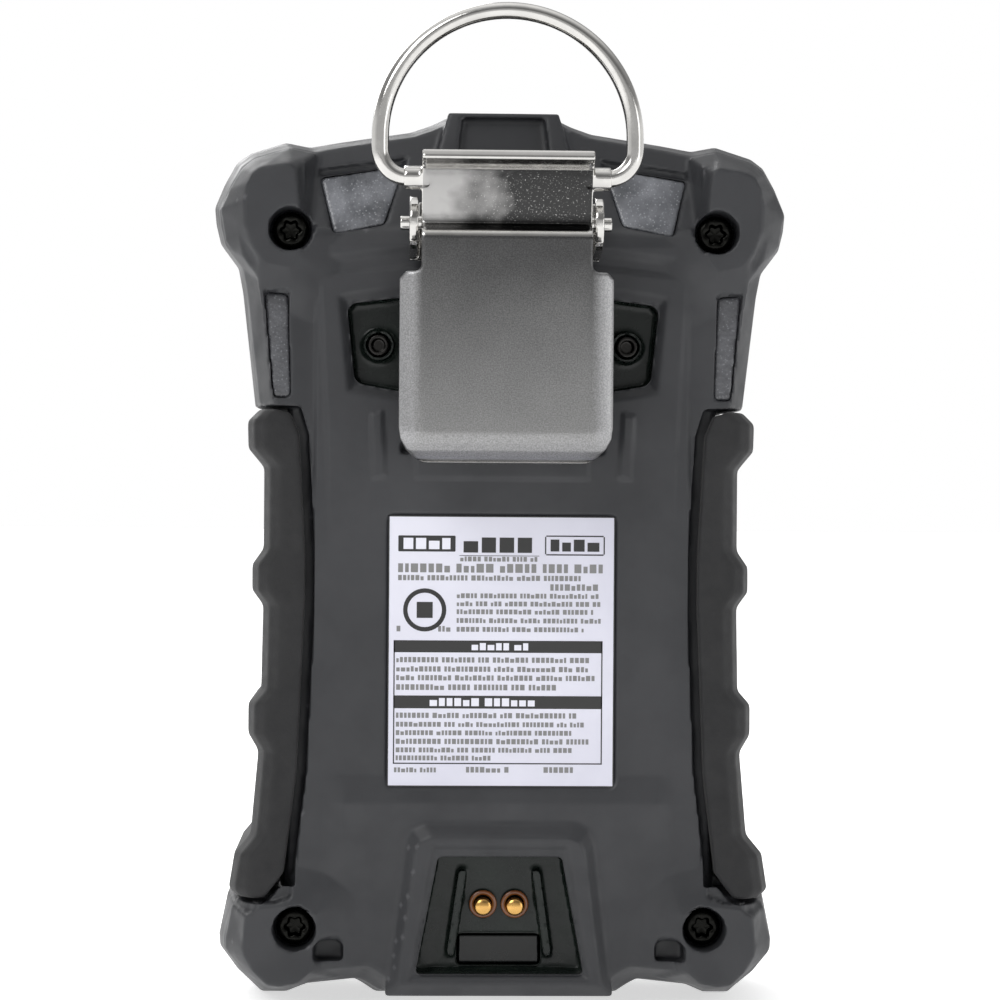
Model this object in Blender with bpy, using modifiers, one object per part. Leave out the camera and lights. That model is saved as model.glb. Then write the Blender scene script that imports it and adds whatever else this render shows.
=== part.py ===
"""A portable gas detector with a spring clip and a D-ring on its back.

It stands on its lower end. +Z is up, the display faces -Y and the clip is on the +Y side. The origin is the
middle of the flat lower end. All the lengths below are millimetres; the helpers turn them into metres.
"""

import math

import bmesh
import bpy
from mathutils import Matrix, Vector

MM = 0.001
WELD = 0.000001  # points closer than this become one, in metres
GAP = 0.3  # left between two pieces that touch

# Casing
PANEL_Y = 15.0  # flat back of the casing, and its front with a minus sign
BUMPER_Y = 16.5  # corner bumpers, charging surround and front frame stand out to here
PARTING_Y = -2.0  # the plane between the two halves
PART_GAP = 0.15  # from that plane to each half
WALL = 2.2
EDGE_Y = 11.0  # where the casing's sloped edges start
EDGE_INSET = 2.6
TAPER_X = 0.968  # the sides draw in to this scale by the sloped edges
TAPER_Z, TAPER_FROM_Z = 1.83, (13.6, 75.4)  # and the two ends by this much, from the grips' ends outwards
TOP_Z = 113.3
RIM_DEPTH = 3.0  # each half's sides are square to the parting plane this far from it, and form the base
TOP_SLOPE = (95.5, 15.0, 110.5, 10.5)  # z, y at the bottom and z, y at the top of the sloped back
SCREWS_TOP = (26.7, 97.3)
SCREWS_BOTTOM = (25.6, 10.1)
SCREW_HOLE_R = 2.7
SCREW_SEAT_Y = 12.2

# Half of the casing's outline from the top's middle to the bottom's middle, as (x, z)
CASING_HALF = (
    (0, 113.0), (4.2, 113.0), (5.2, 113.3), (6.6, 113.3), (9.1, 112.1), (11.7, 111.2), (20.8, 109.8),
    (24.7, 109.1), (27.8, 109.7), (32.5, 108.2), (34.1, 107.0), (35.6, 104.3), (36.9, 101.2), (36.7, 99.0),
    (36.1, 96.5), (33.8, 93.4), (33.2, 90.2), (31.5, 75.4), (28.0, 75.3), (28.0, 13.5), (34.6, 13.0),
    (35.7, 7.5), (35.6, 6.0), (33.3, 2.9), (30.2, 0.0), (27.0, 0.0), (24.7, 1.0), (18.2, 1.7), (17.0, 1.0),
    (15.5, 0.0), (0, 0.0),
)
CAVITY_HALF = (
    (0, 108.6), (16.0, 106.4), (21.5, 103.6), (21.5, 92.5), (25.6, 89.0), (25.6, 17.0), (20.4, 15.0),
    (20.4, 6.4), (17.0, 4.8), (0, 4.0),
)
CAVITY_DEEP_Y, CAVITY_SHALLOW_Y = 12.6, 9.8  # rear wall below and above the clip's pocket
CAVITY_STEP_Z = 73.0
CAVITY_FRONT_Y = -13.8
RABBET_Y, RABBET_WIDTH = -1.0, 0.9  # step inside the rear half's rim that holds the gasket

# Corner bumpers on one side: the foot's outline and the outer face's, as (x, z), point for point
BUMPER_TOP = (
    ((24.4, 108.7), (27.8, 109.4), (32.5, 107.9), (34.0, 106.6), (35.5, 104.0), (36.7, 101.2), (36.0, 97.0),
     (33.6, 93.6), (31.0, 91.0), (27.0, 89.6), (24.6, 91.6), (23.8, 97.0)),
    ((26.0, 104.8), (26.8, 105.4), (30.4, 104.8), (31.3, 104.2), (32.0, 102.8), (32.4, 100.6), (32.2, 97.4),
     (31.3, 94.8), (29.6, 93.0), (26.8, 92.4), (25.6, 94.0), (25.3, 97.6)),
)
BUMPER_BOTTOM = (
    ((27.2, 14.0), (31.5, 13.2), (34.6, 12.6), (35.5, 7.5), (35.4, 6.0), (33.2, 3.0), (30.1, 0.2), (27.1, 0.2),
     (24.6, 1.2), (21.0, 1.9), (18.6, 6.0), (19.6, 12.6)),
    ((27.0, 13.0), (30.0, 12.6), (31.6, 11.8), (32.0, 7.8), (31.8, 6.8), (30.6, 4.8), (28.9, 3.2), (27.4, 3.0),
     (25.2, 3.4), (23.6, 4.8), (22.6, 7.2), (22.8, 12.0)),
)
BUMPER_EDGE_Y = 12.3  # where a bumper's sloped faces start

# Middle of the top: two ridges with a hollow between them, standing on the sloped back
CROWN = ((8.9, 105.6), (7.0, 112.6))
CROWN_HOLLOW = ((6.0, 105.0), (5.2, 112.0))
CROWN_RISE = 1.0

# Side grips
GRIP_Z = (13.8, 75.0)
# Outer side from the bottom up, as (x, z): four bumps with waists between them
GRIP_OUTER = (
    (33.1, 13.8), (34.0, 14.8), (33.3, 19.2), (31.3, 21.6), (30.4, 32.0), (31.7, 34.2), (31.7, 38.0),
    (30.1, 39.8), (29.9, 50.3), (31.3, 52.2), (31.3, 55.4), (29.9, 57.4), (29.9, 67.6), (31.9, 70.0),
    (32.0, 73.4), (30.4, 75.0),
)
GRIP_CROWN = ((15.8, 2.4), (14.4, 0.9), (11.6, 0.0))  # |y|, and how far the outer side is drawn in there
GRIP_INNER = ((26.5, 74.4), (25.4, 71.8), (24.6, 57.0), (24.6, 50.0), (25.5, 29.2), (27.0, 17.0), (29.3, 14.0))
GRIP_SEAT_X, GRIP_SEAT_Y = 28.0, 12.4  # the casing's edge inside the grip

GRIP_GROOVE = 1.2  # open groove between a grip and the casing's back

# Lights: windows in the sloped back and strips beside it, on one side, as (x, z)
LENS = ((12.8, 105.5), (22.8, 103.8), (21.1, 97.1), (15.2, 98.4))
LENS_SINK = 0.8
SIDE_LENS = ((27.2, 89.0), (29.6, 89.2), (28.4, 76.6), (26.8, 76.6))
SIDE_LENS_Y = (12.6, 14.2)

# Pocket behind the clip, charging recess and rating label
POCKET_HALF = ((0, 90.6), (18.8, 88.2), (19.5, 87.4), (18.6, 78.8), (17.9, 78.1), (0, 74.9))
POCKET_Y = 12.2
CORNER_PIT = ((11.2, 12.7), (69.4, 71.0), 13.6)  # small pit under each corner of the flap: x, z, floor y
FOOT_PIT = ((19.5, 6.0), (23.2, 6.0), (23.2, 8.0), (22.4, 8.7), (20.3, 8.7), (19.5, 8.0))
FOOT_PIT_Y = 12.8
POCKET_BOSS = (15.6, 83.0, 1.9)
SEAT_HALF_X, SEAT_Z, SEAT_Y = 9.6, (69.0, 101.0), 15.9
SURROUND_HALF = ((0, 23.4), (9.6, 23.4), (11.2, 22.7), (11.9, 21.2), (14.3, 1.55), (0, 1.55))
SURROUND_LAYERS = ((8, 0), (14.9, 0), (16.5, 1.7))  # y and how far it is drawn in
RECESS = ((7.7, 19.2), (10.5, 4.5))
RECESS_FLOOR_Y = 12.6
RECESS_RIB = ((4.6, 17.2), (6.1, 6.6), 0.9, 14.4)  # middle at the top and the bottom, width, outer y
LIP = (8.4, 1.1, 4.6, 14.6)  # half width, half width of its notch, top z, outer y
CONTACT_X, CONTACT_Z, CONTACT_R = 2.0, 12.6, 1.1
INFRARED = (5.0, 5.4, 8.8)  # half width, z from, z to
LABEL = (14.2, 27.8, 61.7)
LABEL_RECESS_Y = 14.6

# Clip
SHEET = 1.2
PIN_Y, PIN_Z, PIN_R = 22.2, 97.6, 0.9
PIN_HALF = 13.0
EAR_X = (10.8, 11.9)
BASE_HALF_X, BASE_Z = 9.3, (70.6, 101.0)
CLIP_SCREW_Z = (76.0, 90.0)
NECK_HALF_X, FLAP_HALF_X, SHOULDER_Z = 10.4, 13.05, 91.4
FLAP_BOTTOM_Z, FLAP_CORNER_R = 68.1, 4.4
FLAP_Y = 27.4
JAW_R = 4.0  # bend at the flap's bottom
CREST = (95.4, 1.5)  # bend at the flap's top: z of its centre and radius
TAB_ARC = (33.5, 97.4, 8.05)  # hollow of the thumb tab: y and z of its centre, radius
TAB_END = 112.5
THUMB_TOP_Z = 104.6
CURL_X = (10.2, 12.6)
RING_Y, RING_Z = 26.0, 102.8
RING_R, RING_CENTRE_UP, RING_CORNER_R = 15.5, 4.9, 3.4
WIRE_R, RING_END_R, CURL_R = 1.05, 0.75, 1.45
SPRING_R, SPRING_WIRE_R, SPRING_HALF_X, SPRING_TURNS = 1.6, 0.4, 7.0, 7

# Front face
WINDOW = (19.0, 61.0, 88.0)
KEY_Z, KEY_X, KEY_R = 52.6, 14.0, 3.9
KEY_Y = (-17.4, -13.0)
SENSOR_Z, SENSOR_X, SENSOR_R = 29.0, 14.2, 6.6
COVER = (22.0, 14.5, 43.0)


def clear_scene():
    for obj in list(bpy.data.objects):
        bpy.data.objects.remove(obj)


def new_collection(name):
    collection = bpy.data.collections.new(name)
    bpy.context.scene.collection.children.link(collection)
    return collection


clear_scene()
PARTS = new_collection("gas_detector")
CUTTERS = new_collection("cutters")


# Helpers

def material(name, colour, roughness, metallic=0.0):
    made = bpy.data.materials.new(name)
    made.use_nodes = True
    shader = made.node_tree.nodes["Principled BSDF"]
    shader.inputs["Base Color"].default_value = (*colour, 1)
    shader.inputs["Roughness"].default_value = roughness
    shader.inputs["Metallic"].default_value = metallic
    return made


def add_mesh(name, bm):
    """A cutter, until part() makes it one of the object's pieces."""
    bmesh.ops.recalc_face_normals(bm, faces=bm.faces)
    mesh = bpy.data.meshes.new(name)
    bm.to_mesh(mesh)
    bm.free()
    obj = bpy.data.objects.new(name, mesh)
    CUTTERS.objects.link(obj)
    obj.hide_render = True
    obj.display_type = "WIRE"
    return obj


def part(obj, colour, roughness, metallic=0.0, name=None, origin=None, parent=None):
    """Makes obj one of the object's pieces, with its own material and, where it moves, its origin on the axis."""
    CUTTERS.objects.unlink(obj)
    PARTS.objects.link(obj)
    obj.hide_render = False
    obj.display_type = "TEXTURED"
    if name:
        obj.name = name
    obj.data.materials.append(material(obj.name, colour, roughness, metallic))
    if origin:
        place = Vector(origin) * MM
        obj.data.transform(Matrix.Translation(-place))
        obj.location = place
    attach(obj, parent)
    return obj


def attach(obj, parent):
    """Hangs obj on its parent and keeps it where it is in the world."""
    obj.parent = parent
    while parent:
        obj.location -= parent.location
        parent = parent.parent


def axis_empty(name, place, parent=None):
    empty = bpy.data.objects.new(name, None)
    empty.empty_display_size = 0.005
    empty.location = Vector(place) * MM
    PARTS.objects.link(empty)
    attach(empty, parent)
    return empty


def box(name, x, y, z, chamfer=0.0):
    bm = bmesh.new()
    bmesh.ops.create_cube(bm, size=1)
    size = Vector((x[1] - x[0], y[1] - y[0], z[1] - z[0])) * MM
    middle = Vector((x[1] + x[0], y[1] + y[0], z[1] + z[0])) * MM / 2
    bmesh.ops.scale(bm, vec=size, verts=bm.verts)
    bmesh.ops.translate(bm, vec=middle, verts=bm.verts)
    obj = add_mesh(name, bm)
    if chamfer:
        add_bevel(obj, chamfer)
    return obj


def add_bevel(obj, width, segments=1, angle=40):
    bevel = obj.modifiers.new("edges", "BEVEL")
    bevel.width = width * MM
    bevel.segments = segments
    bevel.limit_method = "ANGLE"
    bevel.angle_limit = math.radians(angle)
    bevel.use_clamp_overlap = True


def rod(name, centre, radius, length, axis="Y", sides=20, far_radius=None):
    """A cylinder, or a cone, whose middle is at centre."""
    bm = bmesh.new()
    bmesh.ops.create_cone(
        bm, cap_ends=True, segments=sides, radius1=radius * MM,
        radius2=(radius if far_radius is None else far_radius) * MM, depth=length * MM,
    )
    turn = {"X": Matrix.Rotation(math.pi / 2, 4, "Y"), "Y": Matrix.Rotation(-math.pi / 2, 4, "X"),
            "Z": Matrix.Identity(4)}[axis]
    bm.transform(Matrix.Translation(Vector(centre) * MM) @ turn)
    return add_mesh(name, bm)


def mirrored(half):
    """A whole outline from its right half, which starts and ends on the middle line.

    A point on that line is left out where the edge through it is straight.
    """
    right = [(x, z) for x, z in half if x > 0]
    top = [half[0]] if half[0][1] != right[0][1] else []
    bottom = [half[-1]] if half[-1][1] != right[-1][1] else []
    return top + right + bottom + [(-x, z) for x, z in reversed(right)]


def loft(name, outline, layers):
    """An (x, z) outline carried through layers of (y, inset), where an inset draws it in towards its middle."""
    xs, zs = [x for x, _ in outline], [z for _, z in outline]
    middle = ((max(xs) + min(xs)) / 2, (max(zs) + min(zs)) / 2)
    half = ((max(xs) - min(xs)) / 2, (max(zs) - min(zs)) / 2)
    bm = bmesh.new()
    loops = []
    for y, inset in layers:
        loop = []
        for x, z in outline:
            new_x = middle[0] + (x - middle[0]) * (1 - inset / half[0])
            new_z = middle[1] + (z - middle[1]) * (1 - inset / half[1])
            loop.append(bm.verts.new(Vector((new_x, y, new_z)) * MM))
        loops.append(loop)
    bm.faces.new(loops[0])
    bm.faces.new(loops[-1])
    for near, far in zip(loops, loops[1:]):
        for i in range(len(outline)):
            j = (i + 1) % len(outline)
            bm.faces.new((near[i], near[j], far[j], far[i]))
    return add_mesh(name, bm)


def plate(name, outline, y0, y1):
    """A flat (x, z) outline from y0 to y1: a filled curve, made into a mesh for the Booleans."""
    curve = bpy.data.curves.new(name, "CURVE")
    curve.dimensions = "2D"
    curve.fill_mode = "BOTH"
    curve.extrude = abs(y1 - y0) / 2 * MM
    spline = curve.splines.new("POLY")
    spline.points.add(len(outline) - 1)
    for place, (x, z) in zip(spline.points, outline):
        place.co = (x * MM, z * MM, 0, 1)
    spline.use_cyclic_u = True
    holder = bpy.data.objects.new(name, curve)
    bm = bmesh.new()
    bm.from_mesh(bpy.data.meshes.new_from_object(holder))
    bpy.data.objects.remove(holder)
    bmesh.ops.remove_doubles(bm, verts=bm.verts, dist=WELD)
    bm.transform(Matrix.Translation((0, (y0 + y1) / 2 * MM, 0)) @ Matrix.Rotation(math.pi / 2, 4, "X"))
    return add_mesh(name, bm)


def side_profile(name, outline, x0, x1):
    """A (y, z) outline carried along X."""
    obj = plate(name, outline, x0, x1)
    swap = Matrix(((0, 1, 0, 0), (1, 0, 0, 0), (0, 0, 1, 0), (0, 0, 0, 1)))
    obj.data.transform(swap)
    obj.data.flip_normals()
    return obj


def strip(points, thickness):
    """The closed outline of a bent sheet whose outer face runs through points, its thickness to their right."""
    inner = []
    for i, point in enumerate(points):
        before = Vector(points[max(i - 1, 0)])
        after = Vector(points[min(i + 1, len(points) - 1)])
        along = (after - before).normalized()
        inner.append(tuple(Vector(point) + Vector((along.y, -along.x)) * thickness))
    return list(points) + inner[::-1]


def arc(centre, radius, start, end, steps):
    """Points on a circle, from one angle to another in degrees."""
    angles = [math.radians(start + (end - start) * i / steps) for i in range(steps + 1)]
    return [(centre[0] + radius * math.cos(a), centre[1] + radius * math.sin(a)) for a in angles]


def rectangle(half_x, z0, z1, corner=0.0, middle_x=0.0, steps=3):
    """A rectangle's outline, with round corners if corner isn't 0."""
    if not corner:
        return [(middle_x + sx * half_x, z) for sx, z in ((1, z0), (1, z1), (-1, z1), (-1, z0))]
    points = []
    corners = ((1, z1 - corner, 0), (-1, z1 - corner, 90), (-1, z0 + corner, 180), (1, z0 + corner, 270))
    for side, z, start in corners:
        points += arc((middle_x + side * (half_x - corner), z), corner, start, start + 90, steps)
    return points


def boolean(target, operation, others):
    for other in others:
        modifier = target.modifiers.new(operation.lower(), "BOOLEAN")
        modifier.operation = operation
        modifier.object = other
        modifier.solver = "EXACT"


def cut(target, *cutters):
    boolean(target, "DIFFERENCE", cutters)


def join(target, *others):
    boolean(target, "UNION", others)


def tube(name, points, radius, origin, colour, parent=None):
    """A round wire along world points, as a curve with its ends closed."""
    curve = bpy.data.curves.new(name, "CURVE")
    curve.dimensions = "3D"
    curve.bevel_depth = radius * MM
    curve.bevel_resolution = 2
    curve.use_fill_caps = True
    spline = curve.splines.new("POLY")
    spline.points.add(len(points) - 1)
    for place, point in zip(spline.points, points):
        place.co = (*((Vector(point) - Vector(origin)) * MM), 1)
    obj = bpy.data.objects.new(name, curve)
    obj.location = Vector(origin) * MM
    attach(obj, parent)
    curve.materials.append(material(name, *colour))
    PARTS.objects.link(obj)
    return obj


def both_sides(make):
    """What make(side) returns, for the right and the left."""
    return [make(side) for side in (1, -1)]


# Looks and sides

SIDES = (("right", 1), ("left", -1))
CASING = ((0.062, 0.062, 0.068), 0.55)
RUBBER = ((0.058, 0.058, 0.058), 0.85)
BLACK = ((0.012, 0.012, 0.012), 0.5)
STEEL = ((0.56, 0.56, 0.55), 0.35, 1.0)
BOARD = ((0.01, 0.09, 0.04), 0.5)
GOLD = ((0.85, 0.55, 0.2), 0.3, 1.0)


# Casing

def casing_screw_places():
    return [(side * x, z) for x, z in (SCREWS_TOP, SCREWS_BOTTOM) for side in (1, -1)]


def tapered(x, z):
    """A point of the outline at the parting plane, as it lies by the sloped edges."""
    low, high = TAPER_FROM_Z
    rise = max(low - z, 0) / low - max(z - high, 0) / (TOP_Z - high)
    return x * TAPER_X, z + TAPER_Z * rise


def casing_half(name, sign):
    """The outer form of the rear (sign 1) or front (sign -1) half, with its sloped edges."""
    rim = PARTING_Y + sign * PART_GAP
    layers = ((rim, 0), (PARTING_Y + sign * RIM_DEPTH, 0), (sign * EDGE_Y, 0), (sign * PANEL_Y, EDGE_INSET))
    shell = loft(name, mirrored(CASING_HALF), layers)
    for corner in shell.data.vertices:
        if abs(corner.co.y) > EDGE_Y * MM / 2:
            x, z = tapered(corner.co.x / MM, corner.co.z / MM)
            corner.co.x, corner.co.z = x * MM, z * MM
    return shell


def bumper(name, outlines, side, sign):
    """A block with the foot's outline up to its edge, and from there sloping in to its outer face's."""
    foot, face = [[(side * x, z) for x, z in outline] for outline in outlines]
    foot = [tapered(x, z) for x, z in foot]
    block = loft(name, foot, [(sign * y, 0) for y in (8, BUMPER_EDGE_Y, BUMPER_Y)])
    for corner, (x, z) in zip(list(block.data.vertices)[2 * len(foot):], face):
        corner.co = Vector((x, sign * BUMPER_Y, z)) * MM
    return block


def top_slope_cutter():
    z0, y0, z1, y1 = TOP_SLOPE
    rise = (y1 - y0) / (z1 - z0)
    top_z = z1 + 8
    outline = [(y0, z0), (y0 + 6, z0), (y0 + 6, top_z), (y0 + rise * (top_z - z0), top_z)]
    return side_profile("top_slope_cutter", outline, -24.9, 24.9)


def grip_seat_cutters(sign):
    """Steps in the casing that the grips' edges lie in, each with an open groove along the grip's inner edge."""
    inner = [(x - GRIP_GROOVE, z) for x, z in GRIP_INNER]
    inner[0] = (inner[0][0], GRIP_Z[1] + GAP)
    inner[-1] = (inner[-1][0] + GRIP_GROOVE, GRIP_Z[0] - 0.6)
    outline = [(40, GRIP_Z[0] - GAP), (40, GRIP_Z[1] + GAP)] + inner
    return both_sides(lambda side: plate(
        "grip_seat_cutter", [(side * x, z) for x, z in outline], *sorted((sign * GRIP_SEAT_Y, sign * 20))))


def slope_y(z):
    z0, y0, z1, y1 = TOP_SLOPE
    return y0 + (z - z0) * (y1 - y0) / (z1 - z0)


def sloped_block(name, outline, rise, depth):
    """A block in the sloped back, from rise above the slope's plane to depth below it."""
    block = plate(name, outline, 0, 1)
    for corner in block.data.vertices:
        plane = slope_y(corner.co.z / MM)
        corner.co.y = (plane + rise if corner.co.y > MM / 2 else plane - depth) * MM
    return block


def grown(corners, side, grow):
    """A four-cornered outline on one side, drawn out from its middle by grow each way."""
    middle_x = sum(x for x, _ in corners) / len(corners)
    middle_z = sum(z for _, z in corners) / len(corners)
    return [(side * (x + math.copysign(grow, x - middle_x)), z + math.copysign(grow, z - middle_z))
            for x, z in corners]


def trapezoid(top, bottom, grow=0.0):
    half = [(0, top[1] + grow), (top[0] + grow, top[1] + grow), (bottom[0] + grow, bottom[1] - grow),
            (0, bottom[1] - grow)]
    return mirrored(half)


def rear_housing():
    shell = casing_half("rear_housing", 1)
    cut(shell, top_slope_cutter())
    join(shell, sloped_block("crown", trapezoid(CROWN[1], CROWN[0]), CROWN_RISE, 3))
    cut(shell, sloped_block("crown_hollow", trapezoid(CROWN_HOLLOW[1], CROWN_HOLLOW[0]), 8, 0.4))
    join(shell, *[bumper("bumper", outlines, side, 1) for outlines in (BUMPER_TOP, BUMPER_BOTTOM)
                  for side in (1, -1)])
    cut(shell, *grip_seat_cutters(1))
    join(shell, loft("surround", mirrored(SURROUND_HALF), SURROUND_LAYERS))
    cut(shell, plate("cavity_deep", mirrored(
        [(0, CAVITY_STEP_Z)] + [(CAVITY_HALF[4][0], CAVITY_STEP_Z)] + list(CAVITY_HALF[5:])),
        -4, RECESS_FLOOR_Y - WALL))
    cut(shell, box("battery_room", (-22.5, 22.5), (-4, CAVITY_DEEP_Y), (22.0, CAVITY_STEP_Z)))
    cut(shell, plate("cavity_shallow", mirrored(list(CAVITY_HALF[:5]) + [(25.6, 72.9), (0, 72.9)]),
                     -4, CAVITY_SHALLOW_Y))
    cut(shell, plate("rabbet", gasket_outline(GAP), -4, RABBET_Y))
    cut(shell, plate("pocket", mirrored(POCKET_HALF), POCKET_Y, 20))
    join(shell, box("clip_seat", (-SEAT_HALF_X, SEAT_HALF_X), (11.0, SEAT_Y), SEAT_Z, 0.5))
    boss_x, boss_z, boss_r = POCKET_BOSS
    join(shell, *both_sides(lambda side: rod("boss", (side * boss_x, 12.8, boss_z), boss_r, 2.8)))
    cut(shell, *both_sides(lambda side: rod("insert_hole", (side * boss_x, 14.2, boss_z), 1.6, 4.0)))
    cut(shell, plate("charging_recess", trapezoid(*RECESS), RECESS_FLOOR_Y, 20))
    join(shell, *recess_ribs(), *recess_lip())
    cut(shell, *both_sides(lambda side: rod(
        "contact_hole", (side * CONTACT_X, 11, CONTACT_Z), CONTACT_R + GAP, 6)))
    cut(shell, box("infrared_hole", (-INFRARED[0] - GAP, INFRARED[0] + GAP), (8, 13), (
        INFRARED[1] - GAP, INFRARED[2] + GAP)))
    cut(shell, *both_sides(lambda side: plate("lens_hole", grown(LENS, side, GAP), 8, 20)))
    cut(shell, *both_sides(lambda side: plate(
        "side_lens_seat", grown(SIDE_LENS, side, GAP), SIDE_LENS_Y[0] - GAP, 20)))
    pit_x, pit_z, pit_y = CORNER_PIT
    cut(shell, *both_sides(lambda side: box("corner_pit", sorted((side * pit_x[0], side * pit_x[1])),
                                            (pit_y, 20), pit_z)))
    cut(shell, *both_sides(lambda side: plate("foot_pit", [(side * x, z) for x, z in FOOT_PIT],
                                              FOOT_PIT_Y, 20)))
    cut(shell, plate("label_recess", rectangle(LABEL[0] + GAP, LABEL[1] - GAP, LABEL[2] + GAP, 1.0),
                     LABEL_RECESS_Y, 20))
    for x, z in casing_screw_places():
        cut(shell, rod("screw_head_hole", (x, SCREW_SEAT_Y + 5, z), SCREW_HOLE_R, 10),
            rod("screw_hole", (x, 6, z), 1.6, 16, sides=12))
    for z in CLIP_SCREW_Z:
        cut(shell, rod("clip_screw_hole", (0, 13.5, z), 1.5, 7, sides=12))
    part(shell, *CASING)


def recess_ribs():
    (top_x, top_z), (low_x, low_z), width, outer_y = RECESS_RIB
    half = width / 2
    return both_sides(lambda side: plate("recess_rib", [
        (side * (top_x - half), top_z), (side * (top_x + half), top_z), (side * (low_x + half), low_z),
        (side * (low_x - half), low_z)], RECESS_FLOOR_Y - 0.4, outer_y))


def recess_lip():
    """The lower edge of the charging recess, in two halves with a notch between them."""
    half_x, notch, top_z, outer_y = LIP
    return both_sides(lambda side: box("recess_lip", sorted((side * notch, side * half_x)),
                                       (RECESS_FLOOR_Y - 0.4, outer_y), (3.0, top_z)))


def gasket_outline(grow):
    """The cavity's outline drawn out to the seal's outer edge."""
    out = RABBET_WIDTH + grow
    return mirrored([(x + (out if x else 0), z + (out if z > 60 else -out)) for x, z in CAVITY_HALF])


def front_housing():
    shell = casing_half("front_housing", -1)
    join(shell, *[bumper("bumper", outlines, side, -1) for outlines in (BUMPER_TOP, BUMPER_BOTTOM)
                  for side in (1, -1)])
    cut(shell, *grip_seat_cutters(-1))
    frame = mirrored(((0, 93.5), (20.5, 92.0), (23.0, 88.5), (23.0, 46.0), (0, 44.8)))
    join(shell, loft("front_frame", frame, ((-8, 0), (-15.4, 0), (-BUMPER_Y, 0.9))))
    cut(shell, plate("cavity_front", mirrored(CAVITY_HALF), 1, CAVITY_FRONT_Y))
    half_x, z0, z1 = WINDOW
    cut(shell, plate("window_seat", rectangle(half_x + GAP, z0 - GAP, z1 + GAP, 2), -20, -BUMPER_Y + 1.5),
        plate("window_hole", rectangle(half_x - 2.5, z0 + 2.5, z1 - 2.5, 1), -20, -10))
    cut(shell, *[plate("key_hole", key_outline(x, GAP), -20, -10) for x in (-KEY_X, 0, KEY_X)])
    cut(shell, *[rod("sensor_hole", (x, -14, SENSOR_Z), SENSOR_R - 1.2, 8) for x in sensor_places()])
    half_x, z0, z1 = COVER
    cut(shell, plate("cover_seat", rectangle(half_x + GAP, z0 - GAP, z1 + GAP, 3), -20, -PANEL_Y + 0.6))
    for x, z in cover_screw_places():
        cut(shell, rod("cover_screw_hole", (x, -14, z), 1.2, 4, sides=12))
    for x, z in casing_screw_places():
        cut(shell, rod("screw_hole", (x, -3.5, z), 1.6, 9, sides=12))
    cut(shell, *both_sides(lambda side: plate("front_lens_hole", front_lens_outline(side, GAP), -20, -8)))
    cut(shell, *[box("sounder_slot", (-4, 4), (-20, -10), (z, z + 0.9)) for z in (98.0, 100.0, 102.0)])
    part(shell, *CASING)


def key_outline(x, grow=0.0):
    return arc((x, KEY_Z), KEY_R + grow + (0.6 if x == 0 else 0), 0, 345, 23)


def front_lens_outline(side, grow=0.0):
    corners = ((9.0 - grow, 106.5 + grow), (20.5 + grow, 105.0 + grow), (20.5 + grow, 98.0 - grow),
               (11.5 - grow, 98.0 - grow))
    return [(side * x, z) for x, z in corners]


def sensor_places():
    return (-SENSOR_X, 0.0, SENSOR_X)


def cover_screw_places():
    return ((7.1, 18.2), (-7.1, 18.2))


def housing_gasket():
    outer = gasket_outline(0)
    inner = mirrored([(max(x - 0.1, 0), z - 0.1 if z > 60 else z + 0.1) for x, z in CAVITY_HALF])
    seal = plate("housing_gasket", outer, PARTING_Y + PART_GAP, RABBET_Y - GAP)
    cut(seal, plate("gasket_hole", inner, -4, 3))
    part(seal, (0.02, 0.02, 0.02), 0.8)


def housing_screws():
    for i, (x, z) in enumerate(casing_screw_places(), start=1):
        screw = turned(f"housing_screw_{i}", (
            (0, 13.9), (2.2, 13.9), (2.3, 13.6), (2.3, SCREW_SEAT_Y + GAP), (1.2, SCREW_SEAT_Y + GAP),
            (1.2, -6.0), (0, -6.6)), (x, z), sides=16)
        cut(screw, rod("drive_socket", (x, 14, z), 0.85, 2.2, sides=6))
        part(screw, (0.03, 0.03, 0.03), 0.35, 0.9)


def turned(name, profile, place, sides=20):
    """A round piece about a line along Y, from (radius, y) points that run from its +Y end to its -Y end."""
    bm = bmesh.new()
    corners = [bm.verts.new(Vector((radius, y, 0)) * MM) for radius, y in profile]
    for near, far in zip(corners, corners[1:]):
        bm.edges.new((near, far))
    mesh = bpy.data.meshes.new(name)
    bm.to_mesh(mesh)
    bm.free()
    obj = bpy.data.objects.new(name, mesh)
    CUTTERS.objects.link(obj)
    obj.hide_render = True
    obj.location = Vector((place[0], 0, place[1])) * MM
    screw = obj.modifiers.new("turn", "SCREW")
    screw.axis = "Y"
    screw.steps = sides
    screw.render_steps = sides
    screw.use_merge_vertices = True
    screw.merge_threshold = WELD
    return obj


# Grips

def grip(name, side):
    """A pad with bumps and a crowned outer side, and flat faces right up to its inner edge."""
    outline = [(side * x, z) for x, z in GRIP_OUTER + GRIP_INNER]
    layers = [(-y, inset) for y, inset in GRIP_CROWN] + [(y, inset) for y, inset in reversed(GRIP_CROWN)]
    rubber = loft(name, outline, [(y, 0) for y, _ in layers])
    corners = list(rubber.data.vertices)
    for i, (_, inset) in enumerate(layers):
        first = i * len(outline)
        for corner in corners[first:first + len(GRIP_OUTER)]:
            corner.co.x -= side * inset * MM
    cut(rubber, box("grip_core", sorted((side * 20, side * (GRIP_SEAT_X + GAP))),
                    (-GRIP_SEAT_Y - GAP, GRIP_SEAT_Y + GAP), (0, 90)))
    part(rubber, *RUBBER)


# Label, lenses and charging port

def rating_label():
    label = plate("rating_label", rectangle(*LABEL, 0.8), LABEL_RECESS_Y + GAP, PANEL_Y + 0.15)
    part(label, (0.8, 0.8, 0.92), 0.4)


def alarm_lens(name, side):
    """A clear block sunk a little into the sloped back."""
    part(sloped_block(name, grown(LENS, side, 0), -LENS_SINK, LENS_SINK + 1.8), (0.25, 0.26, 0.28), 0.3)


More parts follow.
